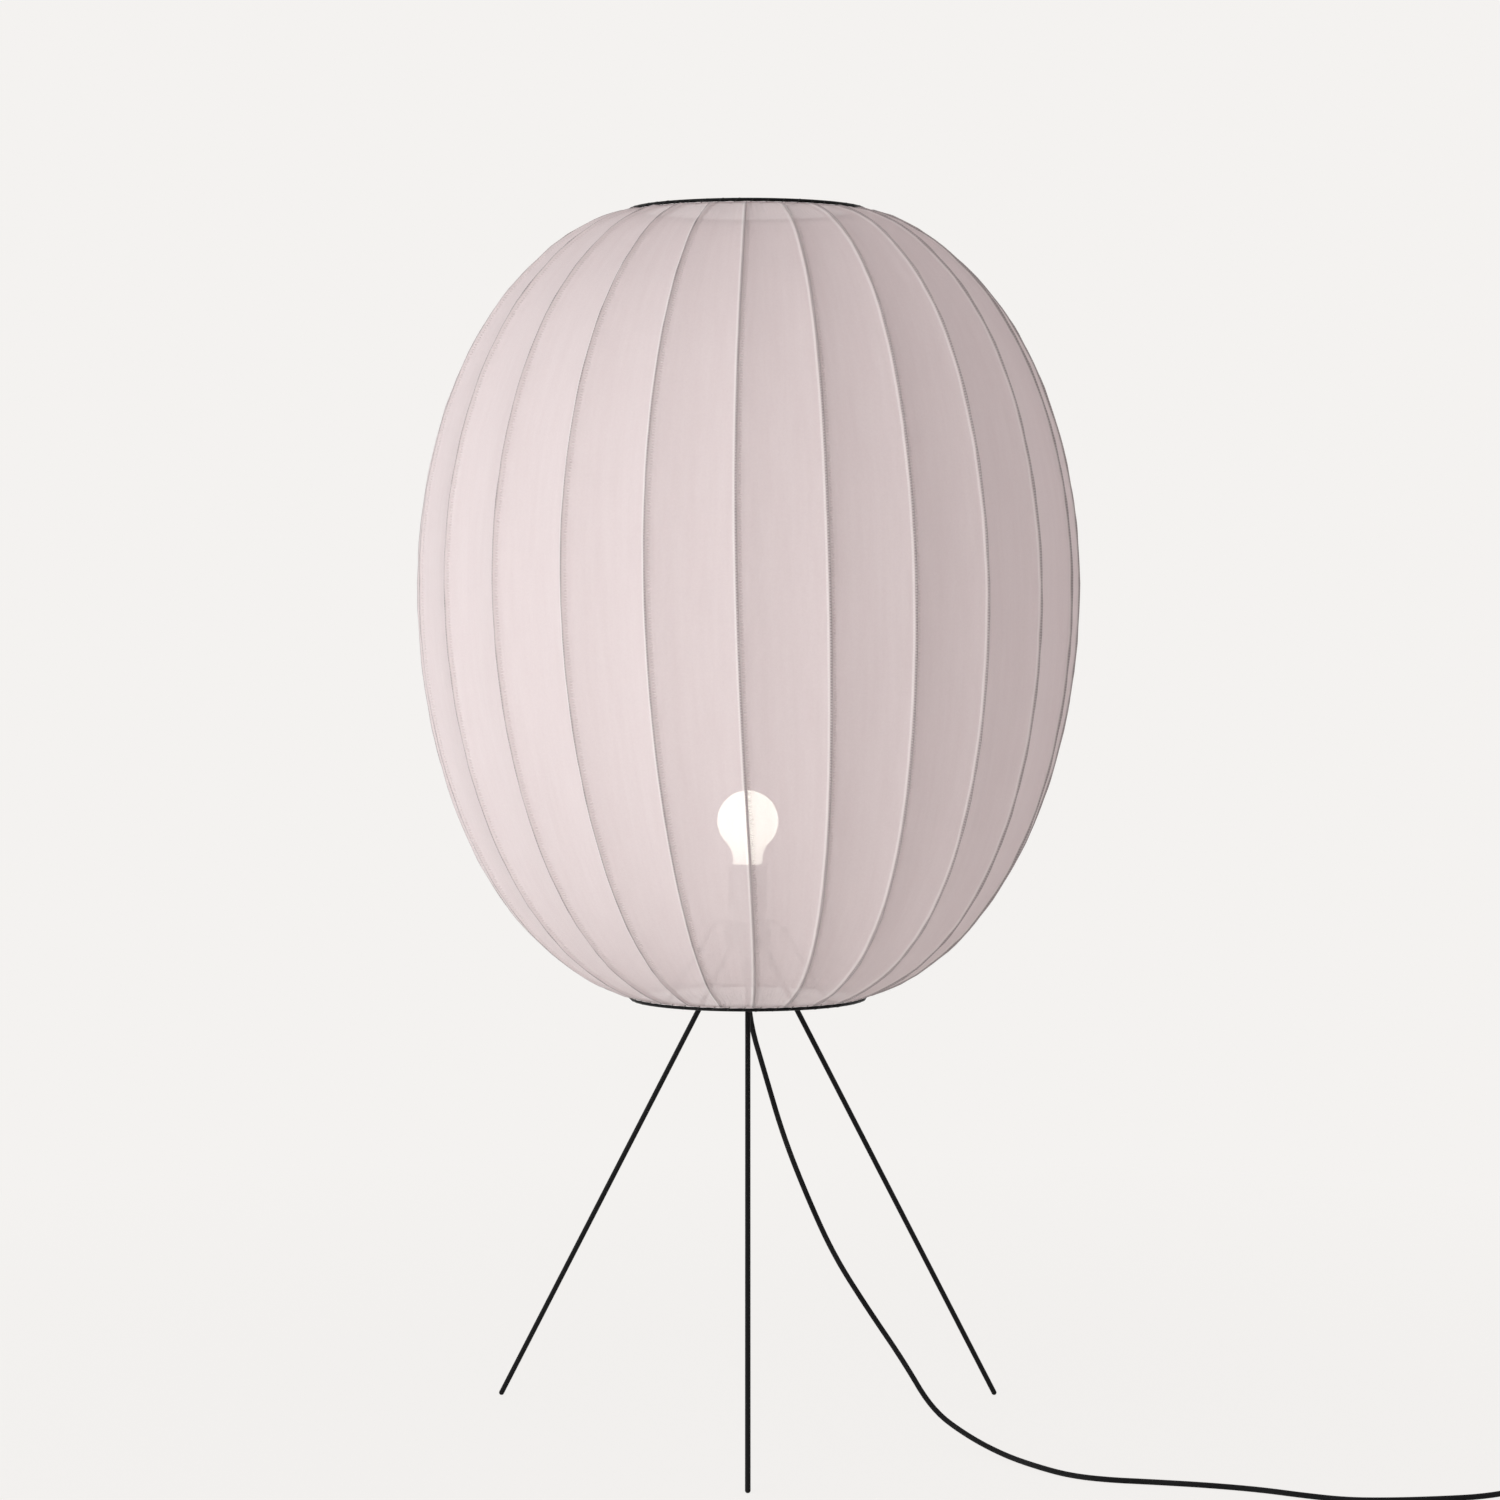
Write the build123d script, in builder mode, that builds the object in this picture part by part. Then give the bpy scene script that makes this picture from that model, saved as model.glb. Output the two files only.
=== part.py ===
from build123d import *
import os
from math import acos, atan2, ceil, cos, degrees, hypot, pi, radians, sin, sqrt, tan

# A floor lamp: a knitted shade drawn over a cage of thin ribs, on three straight rod legs.
# The origin is on the floor under the lamp's axis, +Z is up, and one leg points to -Y.

os.makedirs("parts", exist_ok=True)

# Shade, measured over the outside of the knit at a rib
shade_radius = 325.0
shade_mid_z = 829.0
upper_reach = 376.0
lower_reach = 417.0
upper_roundness = (2.81, 1.94)
lower_roundness = (2.68, 1.98)
knit_thickness = 1.2
knit_clearance = 0.3
seam_gap = 0.2
stations = (0.0, 0.3, 0.55, 0.75, 0.88, 0.95, 0.985, 1.0)

# Cage
rib_count = 24
rib_wire = 2.5
rib_lean = (-1.68, -1.66, 2.82)
ring_radius = 114.0
ring_wire = 3.5
seat_gap = 0.15
arm_wire = 4.0
arm_count = 3
arm_bend_radius = 12.0
arm_flat = 26.0
arm_foot = 22.0
plate_radius = 21.0
plate_thickness = 2.5

# Legs and hub
leg_wire = 5.2
leg_foot_radius = 293.0
leg_ring_radius = 47.3
leg_count = 3
leg_pad_radius = 1.2
hub_radius = 23.0
hub_height = 20.0
hub_rise = 51.0
hub_edge = 2.0
socket_depth = 13.0
socket_clearance = 0.1
set_screw_radius = 2.0
set_screw_height = 6.0
set_screw_key = 1.0

# Threaded tube and its nut
tube_radius = 4.95
tube_bore = 3.6
tube_clearance = 0.1
tube_below_hub = 12.0
tube_in_holder = 5.0
nut_across_flats = 14.0
nut_height = 4.5
grip_length = 36.0
grip_top_radius = 8.0
grip_tip_radius = 4.4

# Lampholder
holder_radius = 19.0
holder_wall = 2.0
holder_gap = 1.0
holder_cap_height = 17.0
holder_body_height = 36.0
holder_clearance = 0.3
terminal_offset = 7.5
insulator_height = 5.0
thread_sleeve_radius = 13.9
thread_sleeve_wall = 0.4
thread_sleeve_height = 26.0
contact_spring_width = 6.0
contact_spring_thickness = 0.6
terminal_screw_radius = 1.6

# Bulb
bulb_radius = 30.0
bulb_neck_radius = 14.5
bulb_length = 106.0
glass_wall = 0.9
glass_clearance = 0.3
bulb_cap_radius = 12.6
bulb_cap_height = 22.0
bulb_cap_wall = 0.3
thread_pitch = 3.6
thread_depth = 0.5
bulb_foot_height = 4.5
bulb_pip_radius = 4.5
bulb_pip_height = 1.5
filament_count = 4
filament_length = 28.0
filament_radius = 0.9
filament_circle = 8.0

# Cord
cord_diameter = 5.2
tie_thickness = 0.8
tie_clearance = 0.5
core_radius = 0.9

# Foot switch
switch_length = 84.0
switch_width = 40.0
switch_foot_height = 1.0
switch_base_height = 7.0
switch_cover_height = 12.0
switch_wall = 2.0
switch_edge = 4.0
switch_screw_spacing = (54.0, 21.0)
switch_boss_radius = 3.0
switch_screw_radius = 1.3
switch_screw_head = 2.3
button_radius = 13.0
button_rise = 4.0
button_travel = 3.0
button_clearance = 0.35
button_flange = 2.0
button_stem_radius = 7.6
button_stem_bore = 6.2
spring_radius = 4.4
spring_wire = 0.9
spring_turns = 5
post_radius = 2.8
post_height = 3.0
bridge_radius = 11.0
bridge_thickness = 0.8
contact_gap = 0.2
blade_size = (7.0, 9.0)
blade_height = 1.6
relief_length = 20.0
relief_root_radius = 4.2
relief_tip_radius = 3.4

# Plug, two round pins
plug_width = 35.3
plug_thickness = 13.7
plug_length = 36.0
plug_neck_width = 15.0
plug_neck_thickness = 11.0
plug_edge = 4.4
plug_nose = 24.0
pin_spacing = 19.0
pin_radius = 2.0
pin_length = 19.0
pin_sleeve_radius = 1.7
pin_sleeve_length = 10.0

# Coil of the cord's unseen length
coil_turns = 6.5
coil_middle = 12.0
coil_pitch = 6.6
coil_layer_gap = 0.5
coil_lead = 25.0
tie_width = 9.0

# The cord's way from under its grip to the foot switch
cord_route = [
    (0, 0, 407),
    (17, -3, 349),
    (35, -7, 288),
    (58, -12, 230),
    (84, -19, 173),
    (117, -29, 122),
    (152, -46, 73),
    (179, -72, 30),
    (212, -108, 12),
    (244, -152, 3.5),
    (272, -197, 2.7),
    (299, -233, 2.7),
    (332, -251, 2.7),
    (375, -260, 2.7),
    (424, -273, 2.7),
    (470, -291, 2.7),
    (508, -315, 2.7),
    (543, -332, 2.7),
    (584, -333, 2.7),
    (629, -327, 2.7),
    (668, -319.5, 3),
    (702, -307.2, 5.6),
    (736, -294.8, 5.6),
]


def end_share(radius, roundness):
    """How far along its reach the shade's outline comes in to a radius."""
    power_r, power_z = roundness
    return (1 - (radius / shade_radius) ** power_r) ** (1 / power_z)


def outline(share, end_radius, inset=0.0):
    """Radius, height and upward direction of the shade's outline, -1 bottom to 1 top."""
    side = 1 if share >= 0 else -1
    reach, roundness = (upper_reach, upper_roundness) if side > 0 else (lower_reach, lower_roundness)
    power_r, power_z = roundness
    along = abs(share) * end_share(end_radius, roundness)
    body = 1 - along**power_z
    radius = shade_radius * body ** (1 / power_r)
    slope = 0.0
    if along > 0:
        slope = -radius / body * power_z * along ** (power_z - 1) / power_r
    size = hypot(slope, reach)
    out, up = side * slope / size, reach / size
    return radius - up * inset, shade_mid_z + side * reach * along + out * inset, out, up


def lean(share):
    """The turn about the axis, in degrees, that a rib has at a share of its height."""
    at_middle, slant, bow = rib_lean
    return at_middle + slant * share + bow * share * share


def shares():
    """The heights at which ribs and knit are set out, from the bottom up."""
    return [-s for s in reversed(stations[1:])] + list(stations)


def smooth_arcs(points, directions):
    """Pairs of arcs through the points, each leaving a point along its direction."""
    for start, end, out, back in zip(points, points[1:], directions, directions[1:]):
        chord = end - start
        both = chord.dot(out + back)
        spare = 1 - out.dot(back)
        if spare < 1e-9:
            reach = chord.dot(chord) / (4 * chord.dot(back))
        else:
            reach = (sqrt(both**2 + 2 * spare * chord.dot(chord)) - both) / (2 * spare)
        first, second = start + out * reach, end - back * reach
        joint = (first + second) / 2
        TangentArc(start, joint, tangent=out)
        TangentArc(joint, end, tangent=second - first)


def corner_radii(points):
    """The largest tidy radius at each corner of a cord's route."""
    radii = []
    for before, here, after in zip(points, points[1:], points[2:]):
        run_in, run_out = Vector(*here) - Vector(*before), Vector(*after) - Vector(*here)
        half_turn = radians(run_in.get_angle(run_out)) / 2
        radii.append(0.45 * min(run_in.length, run_out.length) / tan(half_turn))
    return radii


# Where the rings sit: on the shade's outline, the ribs' thickness above the rib line
rib_inset = knit_thickness + knit_clearance + rib_wire / 2
ring_inset = rib_inset - rib_wire / 2 - ring_wire / 2 - seat_gap
top_ring_z = outline(1, ring_radius, ring_inset)[1]
bottom_ring_z = outline(-1, ring_radius, ring_inset)[1]
knit_mouth_radius = ring_radius + ring_wire / 2 + knit_clearance

# Knitted shade: gores sewn together along the ribs, flat between them, open at both rings
with BuildPart() as gore:
    gore_sections = []
    for share in shares():
        corners = []
        for inset, near_side in ((0, -1), (knit_thickness, 1)):
            radius, height, _, _ = outline(share, ring_radius - ring_wire, inset)
            for side in (near_side, -near_side):
                turn = radians(lean(share) + side * 180 / rib_count) - side * seam_gap / 2 / radius
                corners.append(Vector(radius * cos(turn), radius * sin(turn), height))
        gore_sections.append(Face(Wire.make_polygon(corners)))
    loft(gore_sections)
    with BuildSketch(Plane.XY):
        Circle(knit_mouth_radius)
    extrude(amount=shade_mid_z + upper_reach, mode=Mode.SUBTRACT)

gores = []
for number in range(rib_count):
    gores.append(gore.part.rotate(Axis.Z, (number + 0.5) * 360 / rib_count - 90))
shade_cover = Compound(gores, label="shade_cover")
export_step(shade_cover, "parts/shade_cover.step")

# Rings at the shade's two mouths
with BuildPart() as top_ring:
    with BuildSketch(Plane.XZ):
        with Locations((ring_radius, top_ring_z)):
            Circle(ring_wire / 2)
    revolve(axis=Axis.Z)
top_ring.part.label = "top_ring"
export_step(top_ring.part, "parts/top_ring.step")

with BuildPart() as bottom_ring:
    with BuildSketch(Plane.XZ):
        with Locations((ring_radius, bottom_ring_z)):
            Circle(ring_wire / 2)
    revolve(axis=Axis.Z)
bottom_ring.part.label = "bottom_ring"
export_step(bottom_ring.part, "parts/bottom_ring.step")

# Ribs: thin rods bent to the outline, their ends welded under the rings
rib_points, rib_directions = [], []
step = 0.001
for share in shares():
    spots = []
    for near in (share - step, share, share + step):
        near = max(-1, min(1, near))
        radius, height, _, _ = outline(near, ring_radius - ring_wire / 2, rib_inset)
        turn = radians(lean(near))
        spots.append(Vector(radius * cos(turn), radius * sin(turn), height))
    rib_points.append(spots[1])
    rib_directions.append((spots[2] - spots[0]).normalized())

with BuildPart() as rib:
    with BuildLine() as rib_path:
        smooth_arcs(rib_points, rib_directions)
    with BuildSketch(Plane(origin=rib_points[0], z_dir=rib_directions[0])):
        Circle(rib_wire / 2)
    sweep(path=rib_path.line)

# Opposite ribs are kept together, as a pair
for number in range(rib_count // 2):
    turn = number * 360 / rib_count - 90
    with BuildPart() as rib_pair:
        add(rib.part, rotation=(0, 0, turn))
        add(rib.part, rotation=(0, 0, turn + 180))
    name = f"shade_ribs_{number + 1:02d}"
    rib_pair.part.label = name
    export_step(rib_pair.part, f"parts/{name}.step")

# Hub: a turned steel block with three slanting leg sockets and a bore for the tube
hub_bottom_z = bottom_ring_z + hub_rise
hub_top_z = hub_bottom_z + hub_height
leg_slope = (leg_foot_radius - leg_ring_radius) / bottom_ring_z
leg_tilt = degrees(atan2(leg_slope, 1))


def leg_radius_at(height):
    """Distance of a leg's centre line from the lamp's axis at a height."""
    return leg_foot_radius - leg_slope * height


def leg_plane(number, height):
    """A plane square to a leg, with its normal up the leg."""
    turn = radians(number * 360 / leg_count - 90)
    radius = leg_radius_at(height)
    spot = (radius * cos(turn), radius * sin(turn), height)
    rise = (-leg_slope * cos(turn), -leg_slope * sin(turn), 1)
    return Plane(origin=spot, z_dir=rise)


leg_top_z = hub_bottom_z + (socket_depth - socket_clearance) * cos(radians(leg_tilt))
mouth_z = hub_bottom_z - 2 * leg_wire

with BuildPart() as leg_hub:
    with BuildSketch(Plane.XY.offset(hub_bottom_z)):
        Circle(hub_radius)
    extrude(amount=hub_height)
    chamfer(leg_hub.edges().group_by(Axis.Z)[0], hub_edge / 2)
    fillet(leg_hub.edges().group_by(Axis.Z)[-1], hub_edge / 2)
    with BuildSketch(Plane.XY.offset(hub_bottom_z)):
        Circle(tube_radius + tube_clearance)
    extrude(amount=hub_height, mode=Mode.SUBTRACT)
    for number in range(leg_count):
        with BuildSketch(leg_plane(number, mouth_z)):
            Circle(leg_wire / 2 + socket_clearance)
        socket_reach = (hub_bottom_z - mouth_z) / cos(radians(leg_tilt)) + socket_depth
        extrude(amount=socket_reach, mode=Mode.SUBTRACT)
        turn = radians(number * 360 / leg_count - 90)
        side = Plane(
            origin=(hub_radius * cos(turn), hub_radius * sin(turn), hub_bottom_z + set_screw_height),
            z_dir=(-cos(turn), -sin(turn), 0),
        )
        with BuildSketch(side):
            Circle(set_screw_radius + tube_clearance)
        reach_in = hub_radius - leg_radius_at(hub_bottom_z + set_screw_height)
        extrude(amount=reach_in, mode=Mode.SUBTRACT)
leg_hub.part.label = "leg_hub"
export_step(leg_hub.part, "parts/leg_hub.step")

# Set screws that hold the legs in the hub, with their hexagon sockets
with BuildPart() as leg_set_screws:
    for number in range(leg_count):
        turn = radians(number * 360 / leg_count - 90)
        height = hub_bottom_z + set_screw_height
        leg_face = leg_radius_at(height) + leg_wire / 2 / cos(radians(leg_tilt))
        tip = leg_face + leg_slope * set_screw_radius + seat_gap
        start = Plane(origin=(tip * cos(turn), tip * sin(turn), height), z_dir=(cos(turn), sin(turn), 0))
        with BuildSketch(start):
            Circle(set_screw_radius)
        extrude(amount=hub_radius - hub_edge / 2 - tip)
        with BuildSketch(start.offset(hub_radius - hub_edge / 2 - tip)):
            RegularPolygon(set_screw_key, 6)
        extrude(amount=-set_screw_radius, mode=Mode.SUBTRACT)
leg_set_screws.part.label = "leg_set_screws"
export_step(leg_set_screws.part, "parts/leg_set_screws.step")

# Legs: straight steel rods with rounded ends, standing on a small flat
foot_ball_z = sqrt((leg_wire / 2) ** 2 - leg_pad_radius**2)
for number, name in enumerate(("leg_front", "leg_right", "leg_left")):
    with BuildPart() as leg:
        with BuildSketch(leg_plane(number, foot_ball_z)):
            Circle(leg_wire / 2)
        extrude(amount=(leg_top_z - foot_ball_z) / cos(radians(leg_tilt)))
        with Locations(leg_plane(number, foot_ball_z).origin):
            Sphere(leg_wire / 2)
        split(bisect_by=Plane.XY, keep=Keep.TOP)
    leg.part.label = name
    export_step(leg.part, f"parts/{name}.step")

# Spider plate on the hub, and its three arms down to the bottom ring
plate_top_z = hub_top_z + plate_thickness
with BuildPart() as spider_plate:
    with BuildSketch(Plane.XY.offset(hub_top_z)):
        Circle(plate_radius)
        Circle(tube_radius + tube_clearance, mode=Mode.SUBTRACT)
    extrude(amount=plate_thickness)
spider_plate.part.label = "spider_plate"
export_step(spider_plate.part, "parts/spider_plate.step")

arm_start = nut_across_flats / 2 / cos(radians(30)) + arm_wire / 2
arm_level = plate_top_z + seat_gap + arm_wire / 2
arm_end = ring_radius - ring_wire / 2 - seat_gap
for number in range(arm_count):
    with BuildPart() as spider_arm:
        with BuildLine(Plane.XZ) as arm_path:
            FilletPolyline(
                (arm_start, arm_level),
                (arm_start + arm_flat, arm_level),
                (arm_end - arm_foot, bottom_ring_z),
                (arm_end, bottom_ring_z),
                radius=arm_bend_radius,
            )
        with BuildSketch(Plane.YZ.offset(arm_start)):
            with Locations((0, arm_level)):
                Circle(arm_wire / 2)
        sweep(path=arm_path.line)
    with BuildPart() as turned_arm:
        add(spider_arm.part, rotation=(0, 0, number * 360 / arm_count + 90))
    name = f"spider_arm_{number + 1}"
    turned_arm.part.label = name
    export_step(turned_arm.part, f"parts/{name}.step")

# Threaded tube that ties cord grip, hub, spider plate and lampholder together
nut_top_z = plate_top_z + nut_height
holder_bottom_z = nut_top_z + holder_gap
tube_bottom_z = hub_bottom_z - tube_below_hub
tube_top_z = holder_bottom_z + tube_in_holder
with BuildPart() as threaded_tube:
    with BuildSketch(Plane.XY.offset(tube_bottom_z)):
        Circle(tube_radius)
        Circle(tube_bore, mode=Mode.SUBTRACT)
    extrude(amount=tube_top_z - tube_bottom_z)
threaded_tube.part.label = "threaded_tube"
export_step(threaded_tube.part, "parts/threaded_tube.step")

with BuildPart() as clamp_nut:
    with BuildSketch(Plane.XY.offset(plate_top_z)):
        RegularPolygon(nut_across_flats / 2, 6, major_radius=False)
        Circle(tube_radius + tube_clearance, mode=Mode.SUBTRACT)
    extrude(amount=nut_height)
clamp_nut.part.label = "clamp_nut"
export_step(clamp_nut.part, "parts/clamp_nut.step")

# Cord grip: a tapered strain relief screwed on the tube's lower end
grip_bottom_z = hub_bottom_z - grip_length
cord_radius = cord_diameter / 2
with BuildPart() as cord_grip:
    with BuildSketch(Plane.XZ):
        with BuildLine():
            Polyline(
                (cord_radius + tube_clearance, grip_bottom_z),
                (grip_tip_radius, grip_bottom_z),
                (grip_top_radius, tube_bottom_z),
                (grip_top_radius, hub_bottom_z),
                (tube_radius + tube_clearance, hub_bottom_z),
                (tube_radius + tube_clearance, tube_bottom_z),
                (cord_radius + tube_clearance, tube_bottom_z),
                close=True,
            )
        make_face()
    revolve(axis=Axis.Z)
cord_grip.part.label = "cord_grip"
export_step(cord_grip.part, "parts/cord_grip.step")

# Lampholder: a cap on the tube, a shell, and the contacts inside
holder_joint_z = holder_bottom_z + holder_cap_height
holder_top_z = holder_joint_z + holder_body_height
with BuildPart() as holder_cap:
    with BuildSketch(Plane.XZ):
        with BuildLine():
            dome = ThreePointArc(
                (tube_radius + holder_wall, holder_bottom_z),
                (holder_radius * 0.86, holder_bottom_z + holder_cap_height * 0.36),
                (holder_radius, holder_joint_z),
            )
            Polyline(
                dome @ 1,
                (holder_radius - holder_wall, holder_joint_z),
                (holder_radius - holder_wall, holder_joint_z - insulator_height),
                (tube_radius + 2 * holder_wall, holder_bottom_z + 2 * holder_wall),
                (tube_radius + tube_clearance, holder_bottom_z + 2 * holder_wall),
                (tube_radius + tube_clearance, holder_bottom_z),
                dome @ 0,
            )
        make_face()
    revolve(axis=Axis.Z)
holder_cap.part.label = "holder_cap"
export_step(holder_cap.part, "parts/holder_cap.step")

with BuildPart() as holder_body:
    with BuildSketch(Plane.XY.offset(holder_joint_z)):
        Circle(holder_radius)
        Circle(holder_radius - holder_wall, mode=Mode.SUBTRACT)
    extrude(amount=holder_body_height)
    fillet(holder_body.edges().group_by(Axis.Z)[-1].sort_by(SortBy.RADIUS)[-1], holder_wall / 2)
holder_body.part.label = "holder_body"
export_step(holder_body.part, "parts/holder_body.step")

insulator_z = holder_joint_z - insulator_height
insulator_top_z = holder_joint_z
with BuildPart() as holder_insulator:
    with BuildSketch(Plane.XY.offset(insulator_z)):
        Circle(holder_radius - holder_wall - holder_clearance)
    extrude(amount=insulator_height)
    with BuildSketch(Plane.XY.offset(insulator_top_z)):
        with Locations((-terminal_offset, 0), (terminal_offset, 0)):
            Circle(terminal_screw_radius + tube_clearance)
    extrude(amount=-insulator_height, mode=Mode.SUBTRACT)
holder_insulator.part.label = "holder_insulator"
export_step(holder_insulator.part, "parts/holder_insulator.step")

with BuildPart() as thread_sleeve:
    with BuildSketch(Plane.XY.offset(insulator_top_z)):
        Circle(thread_sleeve_radius)
        Circle(thread_sleeve_radius - thread_sleeve_wall, mode=Mode.SUBTRACT)
    extrude(amount=thread_sleeve_height)
thread_sleeve.part.label = "thread_sleeve"
export_step(thread_sleeve.part, "parts/thread_sleeve.step")

bulb_pip_z = insulator_top_z + 3 * contact_spring_thickness + seat_gap
with BuildPart() as contact_spring:
    with BuildSketch(Plane.XZ.offset(-contact_spring_width / 2)):
        with BuildLine():
            Polyline(
                (-contact_spring_width, insulator_top_z),
                (contact_spring_width / 2, insulator_top_z),
                (contact_spring_width / 2, insulator_top_z + contact_spring_thickness),
                (0, insulator_top_z + contact_spring_thickness),
                (contact_spring_width, bulb_pip_z - seat_gap - contact_spring_thickness),
                (contact_spring_width, bulb_pip_z - seat_gap),
                (-contact_spring_width / 2, bulb_pip_z - seat_gap),
                (-contact_spring_width, insulator_top_z + contact_spring_thickness),
                close=True,
            )
        make_face()
    extrude(amount=contact_spring_width)
contact_spring.part.label = "contact_spring"
export_step(contact_spring.part, "parts/contact_spring.step")

with BuildPart() as terminal_screws:
    for offset_x in (-terminal_offset, terminal_offset):
        with BuildSketch(Plane.XY.offset(insulator_z - terminal_screw_radius)):
            with Locations((offset_x, 0)):
                Circle(2 * terminal_screw_radius)
        extrude(amount=terminal_screw_radius)
        with BuildSketch(Plane.XY.offset(insulator_z)):
            with Locations((offset_x, 0)):
                Circle(terminal_screw_radius)
        extrude(amount=insulator_height * 0.8)
terminal_screws.part.label = "terminal_screws"
export_step(terminal_screws.part, "parts/terminal_screws.step")

# Bulb: frosted glass on a screw cap, with four lit filaments on a glass stem
bulb_top_z = bulb_pip_z + bulb_length
bulb_centre_z = bulb_top_z - bulb_radius
bulb_cap_z = bulb_pip_z + bulb_pip_height + bulb_foot_height
bulb_cap_top_z = bulb_cap_z + bulb_cap_height
glass_seat_z = bulb_cap_top_z - thread_pitch


def glass_outline(inset):
    """Half outline of the glass, taken in by the inset: crown, shoulder and neck."""
    crown = bulb_radius - inset
    side = sqrt(0.5)
    neck = bulb_neck_radius - inset
    shoulder = (crown * side, bulb_centre_z - crown * side)
    sweep_in = (shoulder[0] - neck) / (1 - side)
    neck_z = shoulder[1] - sweep_in * side
    crown_arc = ThreePointArc((0, bulb_centre_z + crown), (crown, bulb_centre_z), shoulder)
    shoulder_arc = TangentArc(crown_arc @ 1, (neck, neck_z), tangent=crown_arc % 1)
    return crown_arc, shoulder_arc


glass_tail_radius = bulb_cap_radius - bulb_cap_wall - glass_clearance
with BuildPart() as bulb_glass:
    with BuildSketch(Plane.XZ):
        with BuildLine():
            crown_arc, shoulder_arc = glass_outline(0)
            Polyline(
                shoulder_arc @ 1,
                (bulb_neck_radius, bulb_cap_top_z + glass_clearance),
                (glass_tail_radius, bulb_cap_top_z + glass_clearance),
                (glass_tail_radius, glass_seat_z),
                (0, glass_seat_z),
                crown_arc @ 0,
            )
        make_face()
    revolve(axis=Axis.Z)
    with BuildSketch(Plane.XZ):
        with BuildLine():
            crown_arc, shoulder_arc = glass_outline(glass_wall)
            Polyline(
                shoulder_arc @ 1,
                (bulb_neck_radius - glass_wall, bulb_cap_top_z + glass_clearance + glass_wall),
                (glass_tail_radius - glass_wall, bulb_cap_top_z + glass_clearance),
                (glass_tail_radius - glass_wall, glass_seat_z + glass_wall),
                (0, glass_seat_z + glass_wall),
                crown_arc @ 0,
            )
        make_face()
    revolve(axis=Axis.Z, mode=Mode.SUBTRACT)
bulb_glass.part.label = "bulb_glass"
export_step(bulb_glass.part, "parts/bulb_glass.step")

# Screw cap with rounded thread ribs
with BuildPart() as bulb_cap:
    with BuildSketch(Plane.XY.offset(bulb_cap_z)):
        Circle(bulb_cap_radius)
    extrude(amount=bulb_cap_height)
    thread_rings = int((bulb_cap_height - thread_pitch) / thread_pitch)
    with BuildSketch(Plane.XZ):
        for ring in range(thread_rings):
            with Locations((bulb_cap_radius, bulb_cap_z + thread_pitch * (ring + 0.8))):
                Ellipse(thread_depth, thread_pitch / 3)
    revolve(axis=Axis.Z)
    with BuildSketch(Plane.XY.offset(bulb_cap_z + bulb_cap_wall)):
        Circle(bulb_cap_radius - bulb_cap_wall)
    extrude(amount=bulb_cap_height, mode=Mode.SUBTRACT)
bulb_cap.part.label = "bulb_cap"
export_step(bulb_cap.part, "parts/bulb_cap.step")

with BuildPart() as bulb_insulator:
    with BuildSketch(Plane.XY.offset(bulb_cap_z - bulb_foot_height)):
        Circle(bulb_pip_radius + bulb_pip_height)
    with BuildSketch(Plane.XY.offset(bulb_cap_z)):
        Circle(bulb_cap_radius - thread_pitch / 2)
    loft()
bulb_insulator.part.label = "bulb_insulator"
export_step(bulb_insulator.part, "parts/bulb_insulator.step")

with BuildPart() as bulb_pip:
    with BuildSketch(Plane.XY.offset(bulb_pip_z)):
        Circle(bulb_pip_radius)
    extrude(amount=bulb_pip_height)
    chamfer(bulb_pip.edges().group_by(Axis.Z)[0], bulb_pip_height / 3)
bulb_pip.part.label = "bulb_pip"
export_step(bulb_pip.part, "parts/bulb_pip.step")

stem_top_z = bulb_centre_z - filament_length / 2
with BuildPart() as bulb_stem:
    with BuildSketch(Plane.XZ):
        with BuildLine():
            Polyline(
                (0, glass_seat_z + glass_wall),
                (glass_tail_radius / 2, glass_seat_z + glass_wall),
                (filament_circle / 3, glass_seat_z + filament_circle),
                (filament_circle / 3, stem_top_z),
                (0, stem_top_z),
                close=True,
            )
        make_face()
    revolve(axis=Axis.Z)
bulb_stem.part.label = "bulb_stem"
export_step(bulb_stem.part, "parts/bulb_stem.step")

with BuildPart() as filaments:
    with BuildSketch(Plane.XY.offset(stem_top_z)):
        with PolarLocations(filament_circle, filament_count, start_angle=45):
            Circle(filament_radius)
    extrude(amount=filament_length)
filaments.part.label = "filaments"
export_step(filaments.part, "parts/filaments.step")

support_wire = filament_radius * 0.6
with BuildPart() as filament_frame:
    with BuildSketch(Plane.XY.offset(stem_top_z - 2 * support_wire)):
        with PolarLocations(0, filament_count // 2, start_angle=45, angular_range=180):
            Rectangle(2 * (filament_circle + filament_radius), 2 * support_wire)
    extrude(amount=2 * support_wire)
    with BuildSketch(Plane.XY.offset(stem_top_z)):
        Circle(support_wire)
    extrude(amount=filament_length)
    with BuildSketch(Plane.XY.offset(stem_top_z + filament_length)):
        with PolarLocations(0, filament_count // 2, start_angle=45, angular_range=180):
            Rectangle(2 * (filament_circle + filament_radius), 2 * support_wire)
    extrude(amount=2 * support_wire)
    with BuildSketch(Plane.XY.offset(stem_top_z - 2 * support_wire)):
        Circle(filament_circle / 3)
    extrude(amount=2 * support_wire, mode=Mode.SUBTRACT)
filament_frame.part.label = "filament_frame"
export_step(filament_frame.part, "parts/filament_frame.step")

# Cord inside the lamp, up the tube to the lampholder's terminals
inner_cord_top_z = tube_top_z + tube_clearance
with BuildPart() as inner_cord:
    with BuildSketch(Plane.XY.offset(grip_bottom_z)):
        Circle(cord_radius)
    extrude(amount=inner_cord_top_z - grip_bottom_z)
inner_cord.part.label = "inner_cord"
export_step(inner_cord.part, "parts/inner_cord.step")

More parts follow.
